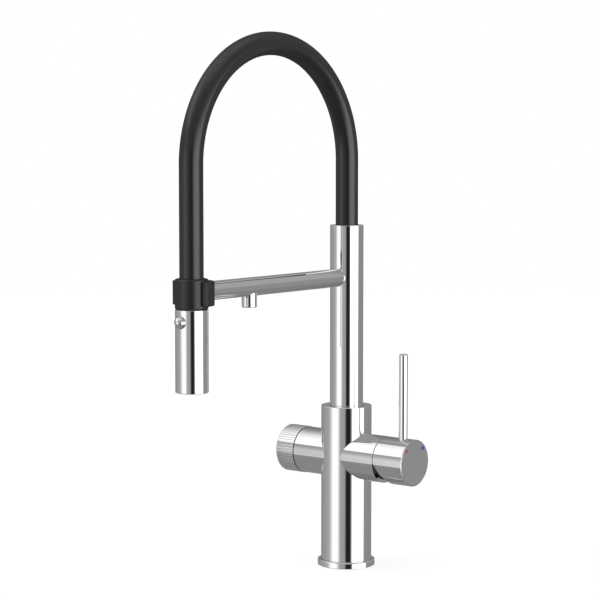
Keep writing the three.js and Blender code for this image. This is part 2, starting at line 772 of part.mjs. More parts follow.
function addFilterKnob() {
  const alongX = { axis: "x", at: sideAt };
  const smallX = { axis: "x", at: sideAt, sides: smallSides };
  const screwEnd = knobEnd - knobCapThickness - 2 * gap;
  const screwSeat = screwEnd - knobScrewHeadHeight;
  const spindle = flutedBar(
    spindleRadius,
    spindleToothDepth,
    spindleTeeth,
    -spindleEnd,
    -spindleStart,
    sideAt,
  );
  const threadEnd = -spindleEnd + threadReach;
  const thread = rod(knobScrewRadius + gap, -spindleEnd - over, threadEnd + over, smallX);
  add("filter_spindle", cut(spindle, thread), brass);

  const fluted = flutedBar(knobRadius, knobFluteDepth, knobFlutes, -knobEnd, -knobStart, sideAt);
  const clear = knobRadius + over;
  const envelope = turned(
    [
      [0, -knobEnd],
      [knobRadius - knobEdge, -knobEnd],
      [clear, -knobEnd + knobEdge + over],
      [clear, -knobStart + over],
      [0, -knobStart + over],
    ],
    alongX,
  );
  const cup = rod(sideBore, -knobStart - knobCupDepth, -knobStart + over, {
    ...alongX,
    sides: boreSides,
  });
  const socket = rod(spindleRadius + gap, -spindleEnd - gap, -knobStart, smallX);
  const screwHole = rod(knobScrewRadius + gap, -knobEnd, -spindleEnd, smallX);
  const screwSink = rod(knobScrewHeadRadius + gap, -knobEnd, -screwSeat + gap, smallX);
  const capSeat = -knobEnd + knobCapThickness + gap;
  const capRadius = knobRadius - knobCapRim;
  const capPocket = rod(capRadius + discFit, -knobEnd - over, capSeat, alongX);
  const holes = [cup, socket, screwHole, screwSink, capPocket];
  add("filter_knob", cut(fluted.intersect(envelope), ...holes), chrome);

  const head = rod(knobScrewHeadRadius, -screwEnd, -screwSeat, smallX);
  const shank = rod(knobScrewRadius, -screwSeat - over, threadEnd, smallX);
  add("knob_screw", join(head, shank), steel);
  add("knob_cap", rod(capRadius, -knobEnd, -knobEnd + knobCapThickness, alongX), chrome);
}

// ---------- riser ----------
function addBushes() {
  const inner = riserRadius + gap;
  const medium = { sides: mediumSides };
  const lower = ring(inner, innerFit, riserBottom, clipRingBottom - bushPlay, medium);
  add("lower_bush", lower, whitePlastic);
  const upper = ring(inner, innerFit, clipRingTop + bushPlay, bearingTop - gap, medium);
  add("upper_bush", upper, whitePlastic);
}

function addRiser() {
  const groove = riserRadius - clipRingGroove;
  const outer = turned([
    [0, riserBottom],
    [riserRadius, riserBottom],
    [riserRadius, clipRingBottom - gap],
    [groove, clipRingBottom - gap],
    [groove, clipRingTop + gap],
    [riserRadius, clipRingTop + gap],
    [riserRadius, riserTop - riserEdge],
    [riserRadius - riserEdge, riserTop],
    [0, riserTop],
  ]);
  const bore = rod(riserBore, riserBottom - over, riserTop + over, { sides: boreSides });
  const armHole = rod(armBore, -riserRadius - over, 0, {
    axis: "y",
    at: [0, 0, armHeight],
    sides: mediumSides,
  });
  add("riser_tube", cut(outer, bore, armHole), chrome);

  const outside = riserRadius + clipRingProud;
  const circlip = ring(groove + gap, outside, clipRingBottom, clipRingTop, { sides: mediumSides });
  const half = clipRingSlot / 2;
  const slot = box([-half, half], [0, outside + over], [clipRingBottom - over, clipRingTop + over]);
  add("riser_circlip", cut(circlip, slot), steel);
}

function addRiserPlug() {
  const grooveDepth = 2 * sealCordRadius;
  const grooveHeight = 2 * sealCordRadius + gap;
  const grooves = sealPlaces.map((height) => spigotBottom + height);
  const grooveProfile = (height) => [
    [spigotRadius, height],
    [spigotRadius - grooveDepth, height],
    [spigotRadius - grooveDepth, height + grooveHeight],
    [spigotRadius, height + grooveHeight],
  ];
  const plug = turned(
    [
      [0, noseSeatFloor + gap],
      [noseRadius, noseSeatFloor + gap],
      [noseRadius, spigotBottom],
      [spigotRadius, spigotBottom],
      ...grooves.flatMap(grooveProfile),
      [spigotRadius, riserBottom],
      [riserFit, riserBottom],
      [riserFit, plugTop],
      [0, plugTop],
    ],
    { sides: innerSides },
  );
  const seat = plugTop - pipeSocketDepth;
  const small = (back) => ({ at: [0, back, 0], sides: smallSides });
  const mixedSeat = rod(mixedPipeRadius + gap, seat, plugTop + over, small(mixedPipeBack));
  const mixedBore = rod(mixedBoreRadius, spigotBottom - over, seat + over, small(mixedBoreBack));
  const filteredSeat = rod(filteredPipeRadius + gap, seat, plugTop + over, small(0));
  const filteredBore = rod(filteredBoreRadius, noseSeatFloor, seat + over, small(0));
  add("riser_plug", cut(plug, mixedSeat, mixedBore, filteredSeat, filteredBore), brass);

  const names = ["riser_seal_lower", "riser_seal_upper"];
  const radius = spigotRadius + sealProud - sealCordRadius;
  grooves.forEach((height, i) => {
    const middle = height + grooveHeight / 2;
    const section = circle(sealCordRadius, 5).map(({ x, y }) => [radius + x, middle + y]);
    add(names[i], turned(section, { sides: innerSides }), blackRubber);
  });
}

function addRiserPipes() {
  const bottom = plugTop - pipeSocketDepth + gap;
  const mixedTop = adapterBottom + adapterSocket - gap;
  const mixed = ring(mixedPipeRadius - pipeWall, mixedPipeRadius, bottom, mixedTop, {
    at: [0, mixedPipeBack, 0],
    sides: smallSides,
  });
  add("mixed_water_pipe", mixed, tubeWhite);

  const bend = filteredPipeBend;
  const bendStart = armHeight - bend;
  const end = -nozzlePlace + elbowLength / 2 - elbowSocket;
  const turnPoint = (angle) => [
    bend * (Math.cos(angle) - 1),
    bendStart + bend * Math.sin(angle),
  ];
  const route = new Route([
    { steps: 1, at: (t) => [0, bottom + (bendStart - bottom) * t] },
    { steps: 5, at: (t) => turnPoint((Math.PI / 2) * t) },
    { steps: 1, at: (t) => [-bend + (end + bend) * t, armHeight] },
  ]);
  const bore = filteredPipeRadius - pipeWall;
  add("filtered_water_pipe", pipe(route, filteredPipeRadius, bore, 10, 6), tubeWhite);
}

// ---------- arm, outlet and clip ----------
function addArm() {
  const alongY = { axis: "y", at: [0, 0, armHeight], sides: mediumSides };
  const tube = ring(armBore, armRadius, -reach + clipInner, 0, alongY);
  const [below, above] = [armHeight - armRadius - over, armHeight + armRadius + over];
  const riser = rod(riserRadius + gap, below, above);
  const clip = rod(clipOuter + gap, below, above, { at: headAt });
  const nozzleHole = rod(nozzleShankRadius + gap, below, armHeight - armRadius / 2, {
    at: [0, -nozzlePlace, 0],
    sides: smallSides,
  });
  add("arm_tube", cut(tube, riser, clip, nozzleHole), chrome);

  const near = -nozzlePlace + elbowLength / 2;
  const far = -nozzlePlace - elbowLength / 2;
  const elbow = rod(armFit, far, near, { axis: "y", at: [0, 0, armHeight], sides: mediumSides });
  const pipeSeat = rod(filteredPipeRadius + gap, near - elbowSocket - gap, near + over, {
    axis: "y",
    at: [0, 0, armHeight],
    sides: smallSides,
  });
  const shankSeat = rod(nozzleShankRadius + gap, armHeight - armRadius, armHeight + gap, {
    at: [0, -nozzlePlace, 0],
    sides: smallSides,
  });
  add("outlet_elbow", cut(elbow, pipeSeat, shankSeat), brass);
}

function addOutletNozzle() {
  const options = { at: [0, -nozzlePlace, 0], sides: mediumSides };
  const small = { at: [0, -nozzlePlace, 0], sides: smallSides };
  const inner = { at: [0, -nozzlePlace, 0], sides: innerSides };
  const outer = turned(
    [
      [0, nozzleBottom],
      ...corner(nozzleRadius - nozzleEdge, nozzleBottom + nozzleEdge, nozzleEdge, -90, 0),
      [nozzleRadius, armHeight],
      [0, armHeight],
    ],
    options,
  );
  const arm = rod(armRadius + gap, -nozzlePlace - nozzleRadius - over, -nozzlePlace + nozzleRadius + over, {
    axis: "y",
    at: [0, 0, armHeight],
    sides: mediumSides,
  });
  const mouthTop = nozzleBottom + nozzleInsertThickness + 3 * gap;
  const shank = rod(nozzleShankRadius, mouthTop, armHeight, small);
  const mouth = rod(nozzleRadius - nozzleWall, nozzleBottom - over, mouthTop, inner);
  const waterway = rod(nozzleShankRadius / 2, nozzleBottom, armHeight + over, small);
  add("outlet_nozzle", cut(join(cut(outer, arm), shank), mouth, waterway), chrome);

  const insertRadius = nozzleRadius - nozzleWall - gap;
  const bottom = nozzleBottom + 2 * gap;
  const top = bottom + nozzleInsertThickness;
  const plate = rod(insertRadius, bottom, top, inner);
  const holes = Array.from({ length: aeratorHoles }, (_, i) => {
    const at = around(aeratorHoles, holeRingShare * insertRadius, i, [0, -nozzlePlace]);
    return rod(aeratorHoleRadius, bottom - over, top + over, { at, sides: drillSides });
  });
  add("outlet_insert", cut(plate, ...holes), whitePlastic);
}

function addDockClip() {
  const hoop = turned(
    [
      [clipInner, clipBottom],
      [clipOuter - clipEdge, clipBottom],
      [clipOuter, clipBottom + clipEdge],
      [clipOuter, clipTop - clipEdge],
      [clipOuter - clipEdge, clipTop],
      [clipInner, clipTop],
    ],
    { at: headAt },
  );
  const mouthEdge = -reach - clipJawReach;
  const mouth = box(
    [-clipOuter - over, clipOuter + over],
    [mouthEdge - clipOuter, mouthEdge],
    [clipBottom - over, clipTop + over],
  );
  const back = -reach + clipInner;
  const spigot = rod(armFit, back + clipWall / 2, back + clipSpigotLength, {
    axis: "y",
    at: [0, 0, armHeight],
    sides: mediumSides,
  });
  add("dock_clip", join(cut(hoop, mouth), spigot), blackPlastic);
}

// ---------- hose ----------
// Up from the riser, over in an arch whose half width is half the reach, and down into the collar.
function hoseRoute(start, end, archSteps) {
  const archPoint = (angle) => [
    (-reach / 2) * (1 - Math.cos(angle)),
    archSpring + archRise * Math.sin(angle),
  ];
  return new Route([
    { steps: 1, at: (t) => [0, start + (archSpring - start) * t] },
    { steps: archSteps, at: (t) => archPoint(Math.PI * t) },
    { steps: 1, at: (t) => [-reach, archSpring + (end - archSpring) * t] },
  ]);
}

function addHose() {
  const innerEnd = fittingTop + gap;
  const sleeveRoute = hoseRoute(hoseStart, hoseEnd, hoseArchSteps);
  const sleeve = pipe(sleeveRoute, hoseRadius, hoseBore, hoseSides, smallSides);
  add("hose_sleeve", sleeve, hosePolymer);
  const innerRoute = hoseRoute(hoseStart, innerEnd, innerHoseArchSteps);
  const inner = pipe(innerRoute, innerHoseRadius, innerHoseBore, smallSides, smallSides);
  add("inner_hose", inner, tubeWhite);

  const ferruleBore = innerHoseRadius + gap;
  const ferrule = (from, at) =>
    ring(ferruleBore, ferruleShare * hoseBore, from, from + ferruleLength, {
      at,
      sides: innerSides,
    });
  add("hose_lower_ferrule", ferrule(hoseStart + gap, [0, 0, 0]), steel);
  add("hose_upper_ferrule", ferrule(innerEnd + gap, headAt), steel);

  const disc = rod(riserFit, adapterBottom, adapterTop, { sides: innerSides });
  const barb = rod(barbRadius, adapterTop - over, adapterTop + barbLength, { sides: smallSides });
  const chamber = adapterBottom + adapterSocket;
  const pipeSeat = rod(mixedPipeRadius + gap, adapterBottom - over, chamber + over, {
    at: [0, mixedPipeBack, 0],
    sides: smallSides,
  });
  const chamberTop = chamber + adapterChamberHeight;
  const hollow = rod(riserFit - adapterChamberInset, chamber, chamberTop, { sides: smallSides });
  const waterway = rod(barbBore, chamber, adapterTop + barbLength + over, { sides: smallSides });
  add("hose_adapter", cut(join(disc, barb), pipeSeat, hollow, waterway), brass);

  const ringBottom = riserTop - topRingHeight;
  add("riser_top_ring", ring(hoseRadius + gap, riserFit, ringBottom, riserTop), chrome);
}

// ---------- spray head ----------
function addHoseEnd() {
  const ledge = neckLipBottom - gap;
  const collar = turned(
    [
      [0, collarBottom],
      ...corner(
        headRadius - collarBottomEdge,
        collarBottom + collarBottomEdge,
        collarBottomEdge,
        -90,
        0,
      ),
      ...corner(headRadius - collarTopEdge, collarTop - collarTopEdge, collarTopEdge, 0, 90),
      [0, collarTop],
    ],
    { at: headAt },
  );
  const inside = { at: headAt, sides: boreSides };
  const throat = rod(hoseRadius + gap, hoseEnd - over, collarTop + over, inside);
  const neckChamber = rod(neckLipRadius + gap, ledge, hoseEnd, inside);
  const mouth = rod(neckRadius + gap, collarBottom - over, ledge + over, inside);
  add("hose_collar", cut(collar, throat, neckChamber, mouth), blackPlastic);

  const spigot = neckBore - gap;
  const fitting = turned(
    [
      [0, swivelSpigotBottom],
      [spigot, swivelSpigotBottom],
      [spigot, fittingBottom],
      [neckLipRadius, fittingBottom],
      [neckLipRadius, fittingTop],
      [barbRadius, fittingTop],
      [barbRadius, fittingTop + barbLength],
      [0, fittingTop + barbLength],
    ],
    { at: headAt, sides: mediumSides },
  );
  const waterway = rod(barbBore, swivelSpigotBottom - over, fittingTop + barbLength + over, {
    at: headAt,
    sides: smallSides,
  });
  add("hose_end_fitting", cut(fitting, waterway), brass);
}

const buttonAxis = { axis: "y", at: [0, -reach, buttonHeight] };

function addHeadBody() {
  const outer = turned(
    [
      [0, headBottom],
      ...corner(headRadius - headEdge, headBottom + headEdge, headEdge, -90, 0),
      [headRadius, headTop - headEdge / 2],
      [headRadius - headEdge / 2, headTop],
      [0, headTop],
    ],
    { at: headAt },
  );
  const bore = rod(headBore, headBottom - over, headTop + over, { at: headAt, sides: boreSides });
  const buttonHole = rod(buttonRadius + gap, -headRadius - over, -headRadius / 2, {
    ...buttonAxis,
    sides: mediumSides,
  });
  add("head_shell", cut(outer, bore, buttonHole), chrome);

  const medium = { at: headAt, sides: innerSides };
  const core = rod(coreRadius, coreBottom, coreTop, medium);
  const neck = rod(neckRadius, coreTop - over, neckTop, { at: headAt, sides: mediumSides });
  const lip = rod(neckLipRadius, neckLipBottom, neckTop, medium);
  const socket = rod(neckBore, swivelSpigotBottom - gap, neckTop + over, {
    at: headAt,
    sides: mediumSides,
  });
  const pocket = rod(buttonRadius + gap, -headRadius, -buttonPocket, {
    ...buttonAxis,
    sides: mediumSides,
  });
  const stemHole = rod(buttonStemRadius + gap, -buttonPocket - over, buttonTravel + gap, {
    ...buttonAxis,
    sides: smallSides,
  });
  add("spray_core", cut(join(core, neck, lip), socket, pocket, stemHole), whitePlastic);
}

function addSprayFace() {
  const medium = { at: headAt, sides: mediumSides };
  const plate = ring(aeratorRadius + gap, coreRadius, faceBottom, faceTop, medium);
  const jetRing = (aeratorRadius + gap + coreRadius) / 2;
  const jets = Array.from({ length: sprayNozzles }, (_, i) =>
    rod(sprayNozzleRadius, faceBottom - over, faceBottom + sprayNozzleDepth, {
      at: around(sprayNozzles, jetRing, i, headAt),
      sides: drillSides,
    }),
  );
  add("spray_face", cut(plate, ...jets), greyRubber);

  const insert = rod(aeratorRadius, faceBottom + aeratorRecess, faceTop, {
    at: headAt,
    sides: innerSides,
  });
  const holes = Array.from({ length: aeratorHoles }, (_, i) =>
    rod(aeratorHoleRadius, faceBottom, faceTop + over, {
      at: around(aeratorHoles, holeRingShare * aeratorRadius, i, headAt),
      sides: drillSides,
    }),
  );
  add("aerator_insert", cut(insert, ...holes), whitePlastic);

  const diverter = ring(diverterBore, coreRadius, faceTop + gap, coreBottom - gap, {
    at: headAt,
    sides: innerSides,
  });
  add("diverter_ring", diverter, whitePlastic);
}

function addButton() {
  const dome = corner(0, -buttonCentre, buttonRadius, -90, 0, 4);
  const profile = [
    ...dome.map(([radius, height]) => [Math.max(radius, 0), height]),
    [buttonRadius, -buttonBack],
    [buttonStemRadius, -buttonBack],
    [buttonStemRadius, 0],
    [0, 0],
  ];
  const button = turned(profile, { ...buttonAxis, sides: mediumSides });
  add("spray_button", button, chrome);
  add("button_spring", coilSpring(), steel);
}

// A compression spring round the button's stem, one unbroken wire.
function coilSpring() {
  const from = -buttonBack + gap + springWire;
  const to = -buttonPocket - gap - springWire;
  const steps = springTurns * springStepsPerTurn;
  const points = Array.from({ length: steps + 1 }, (_, i) => {
    const angle = (2 * Math.PI * i) / springStepsPerTurn;
    const along = i / steps;
    return new THREE.Vector3(
      springRadius * Math.cos(angle),
      -reach + from + (to - from) * along,
      buttonHeight + springRadius * Math.sin(angle),
    );
  });
  const wire = new THREE.Shape(circle(springWire, 4));
  return solid(
    new THREE.ExtrudeGeometry(wire, {
      steps,
      extrudePath: new THREE.CatmullRomCurve3(points),
      bevelEnabled: false,
    }),
  );
}

addFoot();
addBody();
addInlets();
addValveBlock();
addMixerValve();
addMixerCarrier();
addMixerLever();
addIndexDisc();
addFilterValve();
addFilterKnob();
addBushes();
addRiser();
addRiserPlug();
addRiserPipes();
addArm();
addOutletNozzle();
addDockClip();
addHose();
addHoseEnd();
addHeadBody();
addSprayFace();
addButton();

export default tap;
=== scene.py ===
"""Looks of a three way filtered water kitchen tap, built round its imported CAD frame.

Metres, in the frame's own axes: +Z up, -Y the front, +X the mixer side. Turned pieces are made
from profiles with true normals, so that polished chrome reflects without facets.
"""

import math

import bmesh
import bpy
import numpy as np
from mathutils import Matrix, Vector


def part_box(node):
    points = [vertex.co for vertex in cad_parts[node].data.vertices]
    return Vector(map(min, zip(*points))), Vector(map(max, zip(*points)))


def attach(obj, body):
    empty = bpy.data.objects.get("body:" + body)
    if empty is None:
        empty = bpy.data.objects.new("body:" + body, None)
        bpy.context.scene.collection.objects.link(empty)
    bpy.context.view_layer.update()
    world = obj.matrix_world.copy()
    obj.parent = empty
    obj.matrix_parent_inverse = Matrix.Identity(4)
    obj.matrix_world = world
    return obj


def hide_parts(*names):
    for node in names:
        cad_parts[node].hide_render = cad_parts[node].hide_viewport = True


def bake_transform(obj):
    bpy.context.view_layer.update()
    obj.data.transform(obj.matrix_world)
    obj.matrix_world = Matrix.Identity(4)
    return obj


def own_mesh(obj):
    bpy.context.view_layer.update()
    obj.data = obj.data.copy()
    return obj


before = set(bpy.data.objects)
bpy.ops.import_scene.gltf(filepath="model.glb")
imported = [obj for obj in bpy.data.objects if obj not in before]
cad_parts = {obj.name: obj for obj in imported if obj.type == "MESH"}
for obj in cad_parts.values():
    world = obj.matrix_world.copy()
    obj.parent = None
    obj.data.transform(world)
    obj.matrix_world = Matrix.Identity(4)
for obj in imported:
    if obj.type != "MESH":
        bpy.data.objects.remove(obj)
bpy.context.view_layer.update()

MM = 0.001

# ---------- named values ----------
SIDES = 144  # facets of a full turn
DOT_SIDES = 48
BUTTON_SIDES = 96
ROUND_STEPS = 6  # facets of a small round
LARGE_ROUND = 4 * MM
LARGE_ROUND_STEPS = 24
SAME = 1e-7  # two points this close are one
ON_SURFACE = 0.02 * MM  # a point this close to a turned surface lies on it
FACES_ALIKE = 0.94  # least cosine between a face and the turned surface that it lies on
SHARP_ANGLE = 30  # degrees between faces with a sharp edge
KNOB_SHARP_ANGLE = 28
SWEPT_SHARP_ANGLE = 40

GAP = 0.3 * MM  # between fitted faces
JOIN = 0.02 * MM  # between faces that are soldered or pressed together
OVER = 1 * MM  # how far a cutter passes the face it cuts
SOFTEN = 0.2 * MM  # the small round on an edge that is sharp in the CAD

# walls, steps and depths that the boxes of the CAD nodes don't tell
BODY_WALL = 3 * MM
SIDE_TUBE_WALL = 3 * MM
RISER_WALL = 2 * MM
ARM_WALL = 1.25 * MM
HEAD_WALL = 1.6 * MM
HUB_INSET = 0.1 * MM  # the hub is this much slimmer than the fixed tube
KNOB_STEP = 0.45 * MM  # the filter's fixed tube is this much slimmer than the knob
BUSH_DEPTH = 3.2 * MM  # from the column's top down to the upper bush
PIVOT_DEPTH = 1.6 * MM  # from the hub's back down to the lever's pivot
RELIEF_LEAN = 30  # degrees that the hub's relief leans away from the fixed tube
ARCH_ABOVE_RISER = 60.8 * MM
HOSE_BORE_SHARE = 0.744
INNER_BORE_SHARE = 0.667
HOSE_SEAT = 10.6 * MM  # the hose's end above the collar's foot
INNER_SEAT = 11 * MM  # the inner tube's end below the end fitting's top
DOCK_FIT = 0.5 * MM  # between the clip and the collar, which is as wide as the head

CAMERA_AZIMUTH = 39.26  # degrees from the front towards the mixer side
CAMERA_PITCH = 5.288
CAMERA_LENS = 125.8
CAMERA_SENSOR = 36
CAMERA_REACH = 20
CAMERA_PLACE = (1.2161, -1.5577, 0.4361)


# ---------- sizes from the frame ----------
def low(node):
    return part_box(node)[0]


def high(node):
    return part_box(node)[1]


def middle(node):
    lowest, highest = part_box(node)
    return (lowest + highest) / 2


REACH = -middle("hose_collar").y
HEAD_AT = (0, -REACH, 0)
VALVE = middle("index_disc").z
SIDE_AT = (0, 0, VALVE)
ARM = middle("arm_tube").z
ARM_AT = (0, 0, ARM)
ARM_RADIUS = high("arm_tube").x
ARM_BORE = ARM_RADIUS - ARM_WALL
BODY_RADIUS = high("body_shell").y
BODY_BORE = BODY_RADIUS - BODY_WALL
RISER_RADIUS = high("riser_tube").x
RISER_TOP = high("riser_tube").z
HUB_START = low("mixer_hub").x
HUB_END = high("mixer_hub").x
HUB_RADIUS = high("mixer_hub").y
MIXER_TUBE_RADIUS = HUB_RADIUS + HUB_INSET
SIDE_BORE = MIXER_TUBE_RADIUS - SIDE_TUBE_WALL
KNOB_RADIUS = high("filter_knob").y
HOSE_RADIUS = high("hose_sleeve").x
HEAD_RADIUS = high("head_shell").x
DOCK_BORE = HEAD_RADIUS + DOCK_FIT
AXES = {
    "x": (Vector((1, 0, 0)), Vector((0, 1, 0)), Vector((0, 0, 1))),
    "y": (Vector((0, 1, 0)), Vector((0, 0, 1)), Vector((1, 0, 0))),
    "z": (Vector((0, 0, 1)), Vector((1, 0, 0)), Vector((0, 1, 0))),
}


# ---------- turned pieces ----------
def unit(x, y):
    """The direction of a run in a profile."""
    length = math.hypot(x, y)
    return (x / length, y / length)


def arc(centre, radius, start, end, steps, outward=1):
    """Edges of an arc in a profile, with the normals of its round."""
    angles = np.linspace(math.radians(start), math.radians(end), steps + 1)
    spots = [(math.cos(a), math.sin(a)) for a in angles]
    points = [(centre[0] + radius * c, centre[1] + radius * s) for c, s in spots]
    normals = [(outward * c, outward * s) for c, s in spots]
    return list(zip(points, points[1:], normals, normals[1:]))


def fillet(before, corner, after, size):
    """Edges of the round that replaces a corner, from one straight to the next."""
    a = unit(before[0] - corner[0], before[1] - corner[1])
    b = unit(after[0] - corner[0], after[1] - corner[1])
    half = math.acos(max(-1, min(1, a[0] * b[0] + a[1] * b[1]))) / 2
    back = size / math.tan(half)
    first = (corner[0] + back * a[0], corner[1] + back * a[1])
    last = (corner[0] + back * b[0], corner[1] + back * b[1])
    toward = unit(a[0] + b[0], a[1] + b[1])
    far = size / math.sin(half)
    centre = (corner[0] + far * toward[0], corner[1] + far * toward[1])
    start = math.atan2(first[1] - centre[1], first[0] - centre[0])
    end = math.atan2(last[1] - centre[1], last[0] - centre[0])
    sweep = (end - start + math.pi) % (2 * math.pi) - math.pi
    steps = LARGE_ROUND_STEPS if size > LARGE_ROUND else ROUND_STEPS
    return arc(centre, size, math.degrees(start), math.degrees(start + sweep), steps)


def outline(corners):
    """Profile corners (radius, height, optional round) as edges with normals that point out."""
    points = [(c[0], c[1]) for c in corners]
    following = points[1:] + points[:1]
    area = sum(p[0] * q[1] - q[0] * p[1] for p, q in zip(points, following))
    side = 1 if area > 0 else -1
    closed = points[0][0] > 0
    rounds = []
    for i, corner in enumerate(corners):
        size = corner[2] if len(corner) > 2 else 0
        if size and (closed or 0 < i < len(corners) - 1):
            after = points[(i + 1) % len(points)]
            rounds.append(fillet(points[i - 1], points[i], after, size))
        else:
            rounds.append([])
    edges = []
    last = len(corners) if closed else len(corners) - 1
    for i in range(last):
        j = (i + 1) % len(corners)
        start = rounds[i][-1][1] if rounds[i] else points[i]
        end = rounds[j][0][0] if rounds[j] else points[j]
        run = (end[0] - start[0], end[1] - start[1])
        if math.hypot(*run) > SAME:
            across = unit(run[1], -run[0])
            normal = (side * across[0], side * across[1])
            edges.append((start, end, normal, normal))
        for p, q, m, n in rounds[j]:
            lean = side * ((q[1] - p[1]) * m[0] - (q[0] - p[0]) * m[1])
            turn = 1 if lean > 0 else -1
            edges.append((p, q, (turn * m[0], turn * m[1]), (turn * n[0], turn * n[1])))
    return edges


# The turned surfaces that each piece is made of, by its name. Cutters share one name, so when
# several are made before the first is used, only the last one's surfaces get true normals.
shapes = {}


def made(name, mesh):
    """A new object in the scene that holds the mesh."""
    piece = bpy.data.objects.new(name, mesh)
    bpy.context.scene.collection.objects.link(piece)
    return piece


def turned(name, profile, axis="z", at=(0, 0, 0), sides=SIDES):
    """A piece turned about an axis. The profile is a list of corners or of ready edges."""
    edges = profile if isinstance(profile[0][0], tuple) else outline(profile)
    along, u, v = AXES[axis]
    at = Vector(at)
    spokes = []
    for j in range(sides):
        angle = 2 * math.pi * j / sides
        spokes.append(math.cos(angle) * u + math.sin(angle) * v)
    closed = math.dist(edges[0][0], edges[-1][1]) < SAME
    points = [edge[0] for edge in edges] + ([] if closed else [edges[-1][1]])
    verts, rings = [], []
    for radius, height in points:
        if radius < SAME:
            rings.append([len(verts)] * sides)
            verts.append(at + height * along)
        else:
            rings.append(list(range(len(verts), len(verts) + sides)))
            verts.extend(at + height * along + radius * spoke for spoke in spokes)
    faces, normals = [], []
    for k, (_, _, m, n) in enumerate(edges):
        near, far = rings[k], rings[(k + 1) % len(rings)]
        for j in range(sides):
            i = (j + 1) % sides
            corners = [(near, j, m), (near, i, m), (far, i, n), (far, j, n)]
            face, bends = [], []
            for row, spoke, (out, up) in corners:
                if row[spoke] not in face:
                    face.append(row[spoke])
                    bends.append(out * spokes[spoke] + up * along)
            if len(face) < 3:
                continue
            a, b, c = (verts[q] for q in face[:3])
            if (b - a).cross(c - a).dot(bends[0] + bends[-1]) < 0:
                face.reverse()
                bends.reverse()
            faces.append(face)
            normals.extend(bends)
    mesh = bpy.data.meshes.new(name)
    mesh.from_pydata([tuple(p) for p in verts], [], faces)
    mesh.update()
    mesh.shade_smooth()
    mesh.normals_split_custom_set([tuple(n) for n in normals])
    shapes[name] = [(axis, at, edges)]
    return made(name, mesh)


def rod(radius, start, end, axis="z", at=(0, 0, 0)):
    """A plain turned bar, used to cut or to join."""
    return turned("cutter", [(0, start), (radius, start), (radius, end), (0, end)], axis, at)


def block(x, y, z, turn=None):
    """A plain block between pairs of coordinates, used to cut."""
    mesh = bpy.data.meshes.new("cutter")
    work = bmesh.new()
    bmesh.ops.create_cube(work, size=1)
    size = [x[1] - x[0], y[1] - y[0], z[1] - z[0]]
    place = Matrix.Translation(((x[0] + x[1]) / 2, (y[0] + y[1]) / 2, (z[0] + z[1]) / 2))
    bmesh.ops.transform(work, matrix=place @ Matrix.Diagonal((*size, 1)), verts=work.verts)
    if turn is not None:
        bmesh.ops.transform(work, matrix=turn, verts=work.verts)
    work.to_mesh(mesh)
    work.free()
    return made("cutter", mesh)


def combine(piece, operation, others):
    """Cuts the others out of the piece, or joins them to it, and keeps their turned surfaces."""
    for other in others:
        modifier = piece.modifiers.new("combine", "BOOLEAN")
        modifier.operation = operation
        modifier.solver = "MANIFOLD"
        modifier.object = other
        bpy.context.view_layer.update()
        evaluated = piece.evaluated_get(bpy.context.evaluated_depsgraph_get())
        mesh = bpy.data.meshes.new_from_object(evaluated)
        piece.modifiers.clear()
        piece.data = mesh
        shapes[piece.name] = shapes.get(piece.name, []) + shapes.get(other.name, [])
        shapes.pop(other.name, None)
        bpy.data.objects.remove(other)
    return piece


def read(items, name, kind=float):
    """One attribute of all of a mesh's vertices, faces or corners, as an array."""
    width = 3 if kind is float else 1
    values = np.zeros(len(items) * width, kind)
    items.foreach_get(name, values)
    return values.reshape(-1, 3) if width == 3 else values


def true_normals(piece):
    """Gives every face that lies on a turned surface that surface's own normals."""
    mesh = piece.data
    mesh.shade_smooth()
    mesh.set_sharp_from_angle(angle=math.radians(SHARP_ANGLE))
    normals = read(mesh.corner_normals, "vector")
    corner = read(mesh.loops, "vertex_index", int)
    spots = read(mesh.vertices, "co")
    starts = read(mesh.polygons, "loop_start", int)
    totals = read(mesh.polygons, "loop_total", int)
    facing = np.repeat(read(mesh.polygons, "normal"), totals, axis=0)
    for axis, at, edges in shapes[piece.name]:
        along = np.array(AXES[axis][0])
        offset = spots - np.array(at)
        height = offset @ along
        radial = offset - np.outer(height, along)
        radius = np.linalg.norm(radial, axis=1)
        radial = radial / np.maximum(radius, SAME)[:, None]
        for p, q, m, n in edges:
            run = np.array(q) - np.array(p)
            share = ((radius - p[0]) * run[0] + (height - p[1]) * run[1]) / (run @ run)
            share = np.clip(share, 0, 1)
            away = np.hypot(radius - p[0] - share * run[0], height - p[1] - share * run[1])
            on = (away < ON_SURFACE)[corner]
            whole = np.repeat(np.logical_and.reduceat(on, starts), totals)
            lean = np.outer(1 - share, m) + np.outer(share, n)
            exact = lean[:, :1] * radial + lean[:, 1:] * along
            exact = exact / np.maximum(np.linalg.norm(exact, axis=1), SAME)[:, None]
            exact = exact[corner]
            agree = np.einsum("ij,ij->i", exact, facing)
            use = whole & (np.abs(agree) > FACES_ALIKE)
            normals[use] = exact[use] * np.sign(agree[use])[:, None]
    mesh.normals_split_custom_set(normals.tolist())
    return piece


